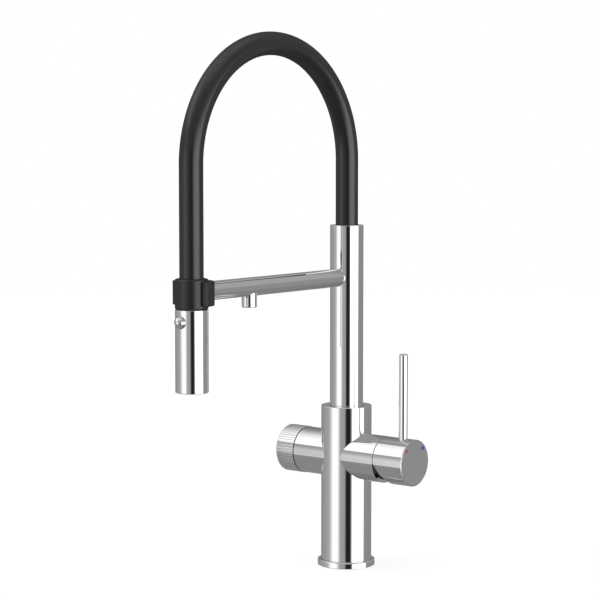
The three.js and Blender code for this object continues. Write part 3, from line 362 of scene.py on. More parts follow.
# ---------- swept pieces ----------
def swept(name, spots, directions, outer, inner=0, *, sides):
    """A tube, or with no inner radius a wire, along points with their directions."""
    work = bmesh.new()
    loops = []
    for spot, direction in zip(spots, directions):
        ahead = Vector(direction).normalized()
        side = Vector((1, 0, 0)) if abs(ahead.x) < 0.9 else Vector((0, 0, 1))
        u = (side - side.dot(ahead) * ahead).normalized()
        v = ahead.cross(u)
        row = []
        for radius in (outer, inner):
            if radius == 0:
                continue
            circle = []
            for j in range(sides):
                angle = 2 * math.pi * j / sides
                offset = radius * (math.cos(angle) * u + math.sin(angle) * v)
                circle.append(work.verts.new(Vector(spot) + offset))
            row.append(circle)
        loops.append(row)
    for near, far in zip(loops, loops[1:]):
        for row, ahead_row in zip(near, far):
            for j in range(sides):
                i = (j + 1) % sides
                work.faces.new((row[j], row[i], ahead_row[i], ahead_row[j]))
    for end in (loops[0], loops[-1]):
        if inner:
            for j in range(sides):
                i = (j + 1) % sides
                work.faces.new((end[0][j], end[0][i], end[1][i], end[1][j]))
        else:
            work.faces.new(end[0])
    bmesh.ops.recalc_face_normals(work, faces=work.faces)
    mesh = bpy.data.meshes.new(name)
    work.to_mesh(mesh)
    work.free()
    mesh.shade_smooth()
    mesh.set_sharp_from_angle(angle=math.radians(SWEPT_SHARP_ANGLE))
    return made(name, mesh)


def hose_path(start, end):
    """Points and directions up the riser's axis, over the arch and down the head's axis."""
    straight_steps, arch_steps = 12, 96
    half = REACH / 2
    spring = RISER_TOP + ARCH_ABOVE_RISER
    rise = high("hose_sleeve").z - HOSE_RADIUS - spring
    spots, directions = [], []
    for share in np.linspace(0, 1, straight_steps + 1)[:-1]:
        spots.append((0, 0, start + (spring - start) * share))
        directions.append((0, 0, 1))
    for angle in np.linspace(0, math.pi, arch_steps + 1):
        spots.append((0, -half * (1 - math.cos(angle)), spring + rise * math.sin(angle)))
        directions.append((0, -half * math.sin(angle), rise * math.cos(angle)))
    for share in np.linspace(0, 1, straight_steps + 1)[1:]:
        spots.append((0, -REACH, spring + (end - spring) * share))
        directions.append((0, 0, -1))
    return spots, directions


# ---------- materials ----------
NOISE_SPREAD = (0.3, 0.7)  # the part of a noise's range that is stretched over its effect
EDGE_SPREAD = (0.3, 0.75)  # how far a surface turns away while its edge softens


def material(name, **values):
    """A Principled material with constant values on the shader's own sockets."""
    surface = bpy.data.materials.new(name)
    surface.use_nodes = True
    shader = surface.node_tree.nodes["Principled BSDF"]
    for key, value in values.items():
        shader.inputs[key.replace("_", " ")].default_value = value
    return surface


def node(tree, kind, inputs=None, **settings):
    """A new node with its settings and the values of its unlinked inputs."""
    made_node = tree.nodes.new(kind)
    for key, value in settings.items():
        setattr(made_node, key, value)
    for key, value in (inputs or {}).items():
        made_node.inputs[key].default_value = value
    return made_node


def noise(tree, scale, detail, stretch=(1, 1, 1)):
    """Noise in object coordinates, stretched along an axis where its scale there is small."""
    place = node(tree, "ShaderNodeTexCoord")
    mapping = node(tree, "ShaderNodeMapping", {"Scale": stretch})
    grain = node(tree, "ShaderNodeTexNoise", {"Scale": scale, "Detail": detail})
    tree.links.new(place.outputs["Object"], mapping.inputs["Vector"])
    tree.links.new(mapping.outputs["Vector"], grain.inputs["Vector"])
    return grain.outputs["Fac"]


def map_range(tree, source, start, end, first, last, **settings):
    """Maps the source from start..end to first..last, and clamps it there."""
    values = {"From Min": start, "From Max": end, "To Min": first, "To Max": last}
    spread = node(tree, "ShaderNodeMapRange", values, **settings)
    tree.links.new(source, spread.inputs["Value"])
    return spread.outputs["Result"]


def vary(tree, source, first, last, target):
    """The source's noise, spread between two values, drives the target."""
    tree.links.new(map_range(tree, source, *NOISE_SPREAD, first, last), target)


def colours(tree, source, first, second, target):
    """The source's noise mixes two colours into the target."""
    mixed = node(tree, "ShaderNodeValToRGB")
    for element, place, colour in zip(mixed.color_ramp.elements, NOISE_SPREAD, (first, second)):
        element.position = place
        element.color = (*colour, 1)
    tree.links.new(source, mixed.inputs["Fac"])
    tree.links.new(mixed.outputs["Color"], target)


def bump(tree, source, strength, depth):
    """The source's noise raises the surface by a depth in metres."""
    raised = node(tree, "ShaderNodeBump", {"Strength": strength, "Distance": depth})
    tree.links.new(source, raised.inputs["Height"])
    shader = tree.nodes["Principled BSDF"]
    tree.links.new(raised.outputs["Normal"], shader.inputs["Normal"])


def metal(name, first, second, roughness, scale, stretch=(1, 1, 1), depth=0.0):
    """A metal whose tint and roughness vary a little, and that shows grain if it has a depth."""
    surface = material(name, Metallic=1.0)
    tree = surface.node_tree
    shader = tree.nodes["Principled BSDF"]
    grain = noise(tree, scale, detail=4, stretch=stretch)
    cloud = noise(tree, scale * 0.1, detail=2)
    colours(tree, cloud, first, second, shader.inputs["Base Color"])
    vary(tree, grain, *roughness, shader.inputs["Roughness"])
    if depth:
        bump(tree, grain, strength=0.5, depth=depth)
    return surface


def plastic(name, first, second, roughness, scale, depth, edge=0.0, **values):
    """A moulded plastic or rubber with a fine grain, whose gloss may soften towards its edge."""
    surface = material(name, **values)
    tree = surface.node_tree
    shader = tree.nodes["Principled BSDF"]
    grain = noise(tree, scale, detail=5)
    cloud = noise(tree, scale * 0.04, detail=3)
    colours(tree, cloud, first, second, shader.inputs["Base Color"])
    vary(tree, grain, *roughness, shader.inputs["Roughness"])
    if edge:
        soften(tree, edge)
    bump(tree, grain, strength=0.35, depth=depth)
    return surface


def soften(tree, edge):
    """Adds to the roughness where the surface turns away, up to the edge's value."""
    roughness = tree.nodes["Principled BSDF"].inputs["Roughness"]
    away = node(tree, "ShaderNodeLayerWeight", {"Blend": 0.5}).outputs["Facing"]
    rise = map_range(tree, away, *EDGE_SPREAD, 0, edge, interpolation_type="SMOOTHSTEP")
    total = node(tree, "ShaderNodeMath", operation="ADD")
    tree.links.new(roughness.links[0].from_socket, total.inputs[0])
    tree.links.new(rise, total.inputs[1])
    tree.links.new(total.outputs["Value"], roughness)


def grey(value, warm=0.0):
    """A grey, which leans from blue to red by as much as it is warm."""
    return (value + warm, value, value - warm)


# Each finish: its name, two tones or colours that a wide noise mixes, its least and most
# roughness, and the scale and the depth of its grain.
FINISHES = {
    "chrome": metal("chrome_plate", grey(0.8), grey(0.81), (0.02, 0.045), scale=260),
    "dark_metal": plastic(
        "dark_plate", grey(0.25), grey(0.29), (0.42, 0.5), scale=900, depth=0.01 * MM, Metallic=0.3
    ),
    "brass": metal(
        "machined_brass",
        (0.5, 0.34, 0.13),
        (0.58, 0.4, 0.16),
        (0.22, 0.4),
        scale=900,
        stretch=(1, 1, 0.05),
        depth=0.02 * MM,
    ),
    "plated_brass": plastic(
        "plated_brass",
        grey(0.42, 0.01),
        grey(0.5, 0.01),
        (0.4, 0.5),
        scale=700,
        depth=0.01 * MM,
        Metallic=0.4,
    ),
    "steel": metal(
        "bright_steel",
        grey(0.5),
        grey(0.58),
        (0.2, 0.34),
        scale=900,
        stretch=(0.08, 1, 1),
        depth=0.01 * MM,
    ),
    "hose_polymer": plastic(
        "hose_polymer",
        grey(0.007),
        grey(0.01),
        (0.28, 0.33),
        scale=1800,
        depth=0.012 * MM,
        edge=0.45,
        IOR=1.6,
    ),
    "black_plastic": plastic(
        "black_plastic",
        grey(0.011),
        grey(0.015),
        (0.33, 0.4),
        scale=2600,
        depth=0.015 * MM,
        edge=0.4,
        IOR=1.55,
    ),
    "seal_rubber": plastic(
        "seal_rubber", grey(0.012), grey(0.02), (0.6, 0.8), scale=1500, depth=0.03 * MM
    ),
    "spray_rubber": plastic(
        "spray_rubber", grey(0.1), grey(0.13), (0.5, 0.65), scale=1500, depth=0.02 * MM
    ),
    "white_plastic": plastic(
        "white_plastic",
        (0.74, 0.73, 0.69),
        (0.8, 0.79, 0.75),
        (0.35, 0.5),
        scale=1200,
        depth=0.015 * MM,
    ),
    "water_tube": plastic(
        "water_tube", (0.7, 0.73, 0.74), (0.78, 0.8, 0.8), (0.3, 0.42), scale=900, depth=0.01 * MM
    ),
    "hot_mark": plastic(
        "hot_mark",
        (0.97, 0.09, 0.095),
        (1, 0.12, 0.125),
        (0.25, 0.35),
        scale=2500,
        depth=0.001 * MM,
    ),
    "cold_mark": plastic(
        "cold_mark",
        (0.05, 0.055, 0.96),
        (0.08, 0.085, 1),
        (0.25, 0.35),
        scale=2500,
        depth=0.001 * MM,
    ),
}

# The CAD nodes that stay, by their finish. They lie inside, but for the nut, which shows in the
# hub's relief, and the seal, the spray face and the inserts, which show from below.
CARRIED = {
    "plated_brass": ["cartridge_nut"],
    "brass": [
        "inlet_manifold",
        "valve_block",
        "filter_cartridge",
        "filter_nut",
        "filter_spindle",
        "riser_plug",
        "outlet_elbow",
        "hose_adapter",
        "hose_end_fitting",
    ],
    "steel": [
        "tie_screw_front",
        "tie_screw_rear",
        "mixer_carrier",
        "pivot_pin",
        "mixer_stem",
        "hub_screw",
        "knob_screw",
        "riser_circlip",
        "hose_lower_ferrule",
        "hose_upper_ferrule",
    ],
    "seal_rubber": ["base_seal", "riser_seal_lower", "riser_seal_upper"],
    "white_plastic": [
        "mixer_cartridge",
        "lower_bush",
        "upper_bush",
        "spray_core",
        "diverter_ring",
        "aerator_insert",
        "outlet_insert",
    ],
    "spray_rubber": ["spray_face"],
    "water_tube": [
        "hot_inlet_tube",
        "cold_inlet_tube",
        "filtered_inlet_tube",
        "mixed_water_pipe",
        "filtered_water_pipe",
    ],
}


def carry_finishes():
    """Gives each CAD node that stays its own finish."""
    for slot, names in CARRIED.items():
        for name in names:
            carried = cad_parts[name]
            carried.data.materials.clear()
            carried.data.materials.append(FINISHES[slot])


def finished(piece, slot, body, *nodes):
    """Gives a piece its finish, its body and the CAD nodes that it stands for."""
    piece.data.materials.clear()
    piece.data.materials.append(FINISHES[slot])
    if nodes:
        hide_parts(*nodes)
    if body:
        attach(piece, body)
    return piece


# ---------- column ----------
def make_foot():
    """The flange round the column's foot, with the groove that holds the deck seal."""
    foot_round, top_round = 0.5 * MM, 0.9 * MM
    seal_land = 1.8 * MM
    outer = high("base_flange").x
    top = high("base_flange").z
    seal_inner = BODY_BORE + seal_land - GAP
    seal_outer = high("base_seal").x + GAP
    roof = high("base_seal").z + GAP
    ledge = low("body_shell").z - GAP
    flange = turned(
        "column_flange",
        [
            (BODY_BORE, 0),
            (seal_inner, 0),
            (seal_inner, roof),
            (seal_outer, roof),
            (seal_outer, 0),
            (outer, 0, foot_round),
            (outer, top, top_round),
            (BODY_RADIUS + GAP, top, SOFTEN),
            (BODY_RADIUS + GAP, ledge),
            (BODY_BORE, ledge),
        ],
    )
    finished(flange, "chrome", "column", "base_flange")


def make_body():
    """The column with both side tubes, its bore, the riser's mouth and the cross bore."""
    top_round, mouth_fit = 0.6 * MM, 0.5 * MM
    foot, top = low("body_shell").z, high("body_shell").z
    filter_end, mixer_end = low("body_shell").x, high("body_shell").x
    filter_radius = KNOB_RADIUS - KNOB_STEP
    bearing = top - BUSH_DEPTH
    mouth = RISER_RADIUS + mouth_fit
    body = turned(
        "column_body",
        [(0, foot), (BODY_RADIUS, foot, SOFTEN), (BODY_RADIUS, top, top_round), (0, top)],
    )
    mixer_tube = turned(
        "cutter",
        [(0, 0), (MIXER_TUBE_RADIUS, 0), (MIXER_TUBE_RADIUS, mixer_end, SOFTEN), (0, mixer_end)],
        "x",
        SIDE_AT,
    )
    combine(body, "UNION", [mixer_tube])
    filter_tube = turned(
        "cutter",
        [(0, filter_end), (filter_radius, filter_end, SOFTEN), (filter_radius, 0), (0, 0)],
        "x",
        SIDE_AT,
    )
    combine(body, "UNION", [filter_tube])
    combine(body, "DIFFERENCE", [rod(BODY_BORE, 0, bearing)])
    flare = turned(
        "cutter",
        [
            (0, bearing - OVER),
            (mouth, bearing - OVER),
            (mouth, top - SOFTEN),
            (mouth + 2 * SOFTEN, top + SOFTEN),
            (0, top + SOFTEN),
        ],
    )
    combine(body, "DIFFERENCE", [flare])
    cross = rod(SIDE_BORE, filter_end - OVER, mixer_end + OVER, "x", SIDE_AT)
    true_normals(combine(body, "DIFFERENCE", [cross]))
    finished(body, "chrome", "column", "body_shell")


# ---------- mixer ----------
def make_dome():
    """The dark dome under the hub: a shell of two arcs from its rim to its opening."""
    rim, opening = 92, 43  # degrees from the axis
    wall, steps = 1.2 * MM, 20
    outer = high("cartridge_dome").y
    pivot = HUB_START - PIVOT_DEPTH
    rounds = arc((0, pivot), outer, 90 - rim, 90 - opening, steps)
    back = arc((0, pivot), outer - wall, 90 - opening, 90 - rim, steps, outward=-1)
    lip = unit(rounds[-1][1][1] - pivot, -rounds[-1][1][0])
    lip = (-lip[0], -lip[1])
    foot = unit(rounds[0][0][1] - pivot, -rounds[0][0][0])
    edges = [
        *rounds,
        (rounds[-1][1], back[0][0], lip, lip),
        *back,
        (back[-1][1], rounds[0][0], foot, foot),
    ]
    dome = turned("mixer_dome", edges, "x", SIDE_AT)
    finished(dome, "dark_metal", "column", "cartridge_dome")


def make_hub():
    """The lever's hub with its cup, sockets and relief, and the rod in its top."""
    end_round, tip_round = 0.45 * MM, 1.4 * MM
    cup_wall, cup_depth, web = 2.7 * MM, 14.9 * MM, 4 * MM
    screw_hole, screw_recess = 2.3 * MM, 4.3 * MM
    tenon, tenon_fit = 3 * MM, 3.3 * MM
    rod_seat, socket_depth = 2.2 * MM, 2.5 * MM
    stem_half, disc_fit = 3.5 * MM, 0.2 * MM
    hub_top = VALVE + HUB_RADIUS
    half = stem_half + GAP
    stem_end = high("mixer_stem").x
    web_end = stem_end + 2 * GAP + web
    disc_start = low("index_disc").x
    disc_socket = high("index_disc").y + disc_fit
    rod_at = (middle("lever_rod").x, 0, 0)
    rod_radius = high("lever_rod").y
    rod_foot, rod_tip = low("lever_rod").z, high("lever_rod").z
    hub = turned(
        "mixer_handle_hub",
        [
            (0, HUB_START),
            (HUB_RADIUS, HUB_START, SOFTEN),
            (HUB_RADIUS, HUB_END, end_round),
            (0, HUB_END),
        ],
        "x",
        SIDE_AT,
    )
    cutters = [
        rod(HUB_RADIUS - cup_wall, HUB_START - OVER, HUB_START + cup_depth, "x", SIDE_AT),
        block((HUB_START, stem_end + GAP), (-half, half), (VALVE - half, VALVE + half)),
        rod(screw_hole, stem_end, web_end + OVER, "x", SIDE_AT),
        rod(screw_recess, web_end, HUB_END, "x", SIDE_AT),
        rod(disc_socket, disc_start - GAP, HUB_END + OVER, "x", SIDE_AT),
        rod(rod_radius + GAP, hub_top - socket_depth, hub_top + OVER, "z", rod_at),
        rod(tenon_fit, rod_foot - GAP, hub_top, "z", rod_at),
        lever_relief(),
    ]
    true_normals(combine(hub, "DIFFERENCE", cutters))
    finished(hub, "chrome", "mixer_lever", "mixer_hub")

    lever = turned(
        "mixer_rod",
        [
            (0, rod_foot),
            (tenon, rod_foot),
            (tenon, hub_top - rod_seat),
            (rod_radius, hub_top - rod_seat),
            (rod_radius, rod_tip, tip_round),
            (0, rod_tip),
        ],
        "z",
        rod_at,
    )
    finished(lever, "chrome", "mixer_lever", "lever_rod")


def lever_relief():
    """The wedge below the hub's axis whose near face leans away from the fixed tube."""
    depth = 2 * HUB_RADIUS
    lean = Matrix.Rotation(math.radians(-RELIEF_LEAN), 4, "Y")
    place = Matrix.Translation((HUB_START, 0, VALVE)) @ lean
    return block((-depth, 0), (-depth, depth), (-depth, 0), place)


def make_index():
    """The disc that closes the hub, with a recess for each of its two coloured dots."""
    dot_fit, dot_round = 0.2 * MM, 0.25 * MM
    start = low("index_disc").x
    radius = high("index_disc").y
    disc = turned(
        "mixer_end_disc",
        [(0, start), (radius, start), (radius, HUB_END, SOFTEN), (0, HUB_END)],
        "x",
        SIDE_AT,
    )
    for kind in ("hot", "cold"):
        name = f"{kind}_dot"
        back, spot = low(name).x, middle(name)
        at = (0, spot.y, spot.z)
        size = high(name).y - spot.y
        combine(disc, "DIFFERENCE", [rod(size + dot_fit, back - GAP, HUB_END + OVER, "x", at)])
        dot = turned(
            f"{kind}_water_dot",
            [(0, back), (size, back), (size, HUB_END, dot_round), (0, HUB_END)],
            "x",
            at,
            DOT_SIDES,
        )
        finished(dot, f"{kind}_mark", "mixer_lever", name)
    true_normals(disc)
    finished(disc, "chrome", "mixer_lever", "index_disc")


# ---------- filtered water knob ----------
def make_knob():
    """A turned knob whose outside has narrow flutes that run out into the front bevel."""
    flutes, per_flute = 56, 24
    width, depth = 0.36, 0.17 * MM  # of a flute, its width as a share of the pitch
    bevel, edge = 0.7 * MM, 0.1 * MM
    cap_fit, screw_head, screw_head_depth = 0.2 * MM, 3.2 * MM, 3 * MM
    screw_hole, spindle_socket, cup_depth = 1.8 * MM, 4.3 * MM, 9.4 * MM
    back, front = high("filter_knob").x, low("filter_knob").x
    cap_back, cap_front = high("knob_cap").x, low("knob_cap").x
    cap_socket = high("knob_cap").y + cap_fit
    cap_floor = cap_back + GAP
    screw_socket = screw_head + GAP
    screw_floor = cap_floor + screw_head_depth
    spindle_end = low("filter_spindle").x - GAP
    cup_floor = back - cup_depth
    free = None  # the radius is the fluted outside's own
    section = [
        (SIDE_BORE, back),
        (free, back - edge),
        (free, (back + front) / 2),
        (free, front + bevel),
        (KNOB_RADIUS - 0.35 * bevel, front + 0.35 * bevel),
        (KNOB_RADIUS - bevel, front),
        (cap_socket, front),
        (cap_socket, cap_floor),
        (screw_socket, cap_floor),
        (screw_socket, screw_floor),
        (screw_hole, screw_floor),
        (screw_hole, spindle_end),
        (spindle_socket, spindle_end),
        (spindle_socket, cup_floor),
        (SIDE_BORE, cup_floor),
    ]
    count = flutes * per_flute
    work = bmesh.new()
    rings = []
    for radius, x in section:
        row = []
        for j in range(count):
            angle = 2 * math.pi * j / count
            place = abs(j % per_flute / per_flute - 0.5) / (width / 2)
            groove = depth * math.cos(math.pi / 2 * place) ** 2 if place < 1 else 0
            out = KNOB_RADIUS - groove
            out = out if radius is free else min(radius, out)
            row.append(work.verts.new((x, out * math.sin(angle), VALVE + out * math.cos(angle))))
        rings.append(row)
    for near, far in zip(rings, rings[1:] + rings[:1]):
        for j in range(count):
            i = (j + 1) % count
            work.faces.new((near[j], near[i], far[i], far[j]))
    bmesh.ops.recalc_face_normals(work, faces=work.faces)
    mesh = bpy.data.meshes.new("filtered_knob")
    work.to_mesh(mesh)
    work.free()
    mesh.shade_smooth()
    mesh.set_sharp_from_angle(angle=math.radians(KNOB_SHARP_ANGLE))
    knob = made("filtered_knob", mesh)
    finished(knob, "chrome", "filter_knob", "filter_knob")

    cap_radius = high("knob_cap").y
    cap = turned(
        "filtered_knob_cap",
        [(0, cap_back), (cap_radius, cap_back), (cap_radius, cap_front, SOFTEN), (0, cap_front)],
        "x",
        SIDE_AT,
    )
    finished(cap, "chrome", "filter_knob", "knob_cap")


# ---------- riser and arm ----------
def make_riser():
    """The turning riser with its circlip's groove, and the ring that closes it round the hose."""
    top_round, groove_depth = 0.4 * MM, 0.8 * MM
    bottom = low("riser_tube").z
    clip_bottom = low("riser_circlip").z - GAP
    clip_top = high("riser_circlip").z + GAP
    groove = RISER_RADIUS - groove_depth
    bore = RISER_RADIUS - RISER_WALL
    riser = turned(
        "riser",
        [
            (bore, bottom),
            (RISER_RADIUS, bottom),
            (RISER_RADIUS, clip_bottom),
            (groove, clip_bottom),
            (groove, clip_top),
            (RISER_RADIUS, clip_top),
            (RISER_RADIUS, RISER_TOP, top_round),
            (bore, RISER_TOP, SOFTEN),
        ],
    )
    hole = rod(ARM_BORE, -RISER_RADIUS - OVER, 0, "y", ARM_AT)
    true_normals(combine(riser, "DIFFERENCE", [hole]))
    finished(riser, "chrome", "spout", "riser_tube")

    ring_inner, ring_outer = HOSE_RADIUS + GAP, high("riser_top_ring").x
    ring_bottom = low("riser_top_ring").z
    ring = turned(
        "riser_closing_ring",
        [
            (ring_inner, ring_bottom),
            (ring_outer, ring_bottom),
            (ring_outer, RISER_TOP, SOFTEN),
            (ring_inner, RISER_TOP, SOFTEN),
        ],
    )
    finished(ring, "chrome", "spout", "riser_top_ring")


def make_arm():
    """The arm, cut to the riser and to the clip, with a hole for the outlet's elbow."""
    elbow_hole = 4.3 * MM
    end = -REACH + DOCK_BORE
    outlet_at = (0, middle("outlet_nozzle").y, 0)
    tube = turned(
        "spout_arm",
        [(ARM_BORE, end), (ARM_RADIUS, end), (ARM_RADIUS, 0), (ARM_BORE, 0)],
        "y",
        ARM_AT,
    )
    bottom, top = ARM - ARM_RADIUS - OVER, ARM + ARM_RADIUS + OVER
    cutters = [
        rod(RISER_RADIUS + JOIN, bottom, top),
        rod(high("dock_clip").x + JOIN, bottom, top, "z", HEAD_AT),
        rod(elbow_hole, bottom, ARM - ARM_RADIUS / 2, "z", outlet_at),
    ]
    true_normals(combine(tube, "DIFFERENCE", cutters))
    finished(tube, "chrome", "spout", "arm_tube")


def make_outlet():
    """The filtered water outlet: saddled on the arm, with a spigot into it and a wide mouth."""
    foot_round, wall = 0.9 * MM, 1.45 * MM
    spigot, waterway = 4 * MM, 2 * MM
    at = (0, middle("outlet_nozzle").y, 0)
    bottom = low("outlet_nozzle").z
    radius = high("outlet_nozzle").x
    front, rear = at[1] - radius - OVER, at[1] + radius + OVER
    mouth, mouth_top = radius - wall, high("outlet_insert").z + GAP
    outlet = turned(
        "outlet_spout",
        [(0, bottom), (radius, bottom, foot_round), (radius, ARM), (0, ARM)],
        "z",
        at,
    )
    combine(outlet, "DIFFERENCE", [rod(ARM_RADIUS + JOIN, front, rear, "y", ARM_AT)])
    combine(outlet, "UNION", [rod(spigot, mouth_top, ARM, "z", at)])
    opening = turned(
        "cutter",
        [
            (0, bottom - SOFTEN),
            (mouth + 2 * SOFTEN, bottom - SOFTEN),
            (mouth, bottom + SOFTEN),
            (mouth, mouth_top),
            (0, mouth_top),
        ],
        "z",
        at,
    )
    combine(outlet, "DIFFERENCE", [opening, rod(waterway, bottom, ARM + OVER, "z", at)])
    true_normals(outlet)
    finished(outlet, "chrome", "spout", "outlet_nozzle")


def make_clip():
    """The open clip for the spray head, with a spigot into the arm."""
    edge_round = 0.8 * MM
    outer = high("dock_clip").x
    bottom, top = low("dock_clip").z, high("dock_clip").z
    jaw_end, spigot_end = low("dock_clip").y, high("dock_clip").y
    clip = turned(
        "docking_clip",
        [
            (DOCK_BORE, bottom, SOFTEN),
            (outer, bottom, edge_round),
            (outer, top, edge_round),
            (DOCK_BORE, top, SOFTEN),
        ],
        "z",
        HEAD_AT,
    )
    mouth = block(
        (-outer - OVER, outer + OVER),
        (jaw_end - outer, jaw_end),
        (bottom - OVER, top + OVER),
    )
    combine(clip, "DIFFERENCE", [mouth])
    spigot_start = -REACH + (DOCK_BORE + outer) / 2
    combine(clip, "UNION", [rod(ARM_BORE - GAP, spigot_start, spigot_end, "y", ARM_AT)])
    round_ends(clip, jaw_end)
    true_normals(clip)
    finished(clip, "black_plastic", "spout", "dock_clip")


def round_ends(piece, place):
    """Rounds the edges of the two flat jaw ends, which lie at a place along Y."""
    size, near, bent = 0.35 * MM, 0.001 * MM, 0.5
    work = bmesh.new()
    work.from_mesh(piece.data)
    edges = [
        edge
        for edge in work.edges
        if all(abs(vert.co.y - place) < near for vert in edge.verts)
        and len(edge.link_faces) == 2
        and edge.calc_face_angle(0) > bent
    ]
    bmesh.ops.bevel(work, geom=edges, offset=size, segments=3, profile=0.5, affect="EDGES")
    work.to_mesh(piece.data)
    work.free()


# ---------- hose ----------
def make_hose():
    """The hose and its inner tube, swept up the riser, over the arch and down to the head."""
    start = low("hose_sleeve").z
    sleeve_path = hose_path(start, low("hose_collar").z + HOSE_SEAT)
    bore = HOSE_BORE_SHARE * HOSE_RADIUS
    sleeve = swept("spray_hose", *sleeve_path, HOSE_RADIUS, bore, sides=64)
    finished(sleeve, "hose_polymer", None, "hose_sleeve")
    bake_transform(sleeve)

    radius = high("inner_hose").x
    inner_path = hose_path(start, high("hose_end_fitting").z - INNER_SEAT + GAP)
    inner = swept("hose_water_tube", *inner_path, radius, INNER_BORE_SHARE * radius, sides=32)
    finished(inner, "water_tube", None, "inner_hose")
    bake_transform(inner)


def make_collar():
    """The collar that holds the hose's end and the end fitting's neck."""
    foot_round, top_round = 1.2 * MM, 1.4 * MM
    ledge_height, chamber_wall, mouth_wall = 3.7 * MM, 2.9 * MM, 4.4 * MM
    bottom, top = low("hose_collar").z, high("hose_collar").z
    radius = high("hose_collar").x
    throat = HOSE_RADIUS + GAP
    seat = bottom + HOSE_SEAT
    ledge = bottom + ledge_height
    chamber = radius - chamber_wall
    mouth = radius - mouth_wall
    collar = turned(
        "spray_hose_collar",
        [
            (mouth, bottom, SOFTEN),
            (radius, bottom, foot_round),
            (radius, top, top_round),
            (throat, top, SOFTEN),
            (throat, seat),
            (chamber, seat),
            (chamber, ledge),
            (mouth, ledge),
        ],
        "z",
        HEAD_AT,
    )
    finished(collar, "black_plastic", "hose_end", "hose_collar")


# ---------- spray head ----------
def make_head():
    """The spray head's shell, with the button's hole in its front."""
    foot_round, top_round = 0.7 * MM, 0.35 * MM
    bottom, top = low("head_shell").z, high("head_shell").z
    bore = HEAD_RADIUS - HEAD_WALL
    button_at = (0, -REACH, middle("spray_button").z)
    button_fit = high("spray_button").x + GAP
    shell = turned(
        "spray_head_shell",
        [
            (bore, bottom, SOFTEN),
            (HEAD_RADIUS, bottom, foot_round),
            (HEAD_RADIUS, top, top_round),
            (bore, top),
        ],
        "z",
        HEAD_AT,
    )
    hole = rod(button_fit, -HEAD_RADIUS - OVER, -HEAD_RADIUS / 2, "y", button_at)
    true_normals(combine(shell, "DIFFERENCE", [hole]))
    finished(shell, "chrome", "spray_head", "head_shell")


def make_button():
    """The domed button with its stem, and the spring behind it."""
    skirt, stem = 4.8 * MM, 1.7 * MM
    at = (0, -REACH, middle("spray_button").z)
    radius = high("spray_button").x
    tip = low("spray_button").y + REACH
    back = tip + radius + skirt
    button = turned(
        "spray_head_button",
        [(0, tip), (radius, tip, radius), (radius, back), (stem, back), (stem, 0), (0, 0)],
        "y",
        at,
        BUTTON_SIDES,
    )
    finished(button, "chrome", "spray_button", "spray_button")

    wire, turns, steps = 0.4 * MM, 3, 72
    coil = high("button_spring").x - wire
    start, end = low("button_spring").y + wire, high("button_spring").y - wire
    lead = (end - start) / (2 * math.pi * turns)
    spots, directions = [], []
    for angle in np.linspace(0, 2 * math.pi * turns, steps + 1):
        cos, sin = math.cos(angle), math.sin(angle)
        spots.append((coil * cos, start + lead * angle, at[2] + coil * sin))
        directions.append((-coil * sin, lead, coil * cos))
    spring = swept("spray_button_spring", spots, directions, wire, sides=10)
    finished(spring, "steel", "spray_head", "button_spring")
    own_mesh(spring)


# ---------- studio ----------
WHITE = (1, 1, 1, 1)


def ramp(tree, source, stops):
    """A ramp over an angle of -180 to 180 degrees from (angle, light) stops."""
    made_ramp = node(tree, "ShaderNodeValToRGB")
    elements = made_ramp.color_ramp.elements
    for i, (angle, light) in enumerate(stops):
        place = (angle + 180) / 360
        element = elements[i] if i < 2 else elements.new(place)
        element.position = place
        element.color = (light, light, light, 1)
    tree.links.new(source, made_ramp.inputs["Fac"])
    return made_ramp.outputs["Color"]


def above(tree, height, start, end, under, over):
    """Goes from one colour to another as the height passes between two elevations."""
    start, end = math.sin(math.radians(start)), math.sin(math.radians(end))
    rise = map_range(tree, height, start, end, 0, 1, interpolation_type="SMOOTHSTEP")
    mix = node(tree, "ShaderNodeMix", data_type="RGBA")
    sockets = {socket.identifier: socket for socket in (*mix.inputs, *mix.outputs)}
    tree.links.new(rise, sockets["Factor_Float"])
    tree.links.new(under, sockets["A_Color"])
    tree.links.new(over, sockets["B_Color"])
    return sockets["Result_Color"]


def seen_straight(tree):
    """One for what is seen directly or through something clear, and nought otherwise."""
    path = node(tree, "ShaderNodeLightPath")
    either = node(tree, "ShaderNodeMath", operation="MAXIMUM")
    tree.links.new(path.outputs["Is Camera Ray"], either.inputs[0])
    tree.links.new(path.outputs["Is Transmission Ray"], either.inputs[1])
    return either.outputs["Value"]


# Light by angle round the tap, as (degrees, light). Nought is the side that the photograph was
# taken from, and angles grow to the right. Its chrome shows these white cards and the black one.
CARDS = [
    (-180, 0.3),
    (-150, 0.31),
    (-113, 0.38),
    (-88, 0.45),
    (-78, 0.66),
    (-68, 1.15),
    (-56, 1.3),
    (-43, 1.25),
    (-35, 0.8),
    (-29, 0.42),
    (-12, 0.38),
    (-7, 0.3),
    (-2, 0.017),
    (15, 0.017),
    (19, 0.16),
    (23, 0.42),
    (28, 2.8),
    (80, 2.8),
    (86, 0.33),
    (130, 0.29),
    (180, 0.3),
]
OVERHEAD = [
    (-180, 0.2),
    (-165, 0.33),
    (-150, 0.57),
    (-125, 0.97),
    (-100, 1.25),
    (-88, 1.3),
    (-58, 1.3),
    (-45, 0.43),
    (160, 0.43),
    (180, 0.2),
]
BESIDE = [
    (-180, 0.22),
    (-130, 0.3),
    (-85, 0.36),
    (-60, 0.6),
    (-45, 0.43),
    (150, 0.43),
    (180, 0.22),
]
BEHIND = [(112, 0.3), (118, 0.95), (138, 0.85), (150, 0.3), (168, 0.24), (180, 0.28)]
ACROSS = [
    (-180, 0.28),
    (-168, 0.3),
    (-163, 0.05),
    (-157, 0.05),
    (-153, 0.3),
    (-147, 0.95),
    (-126, 0.9),
    (-118, 0.33),
]
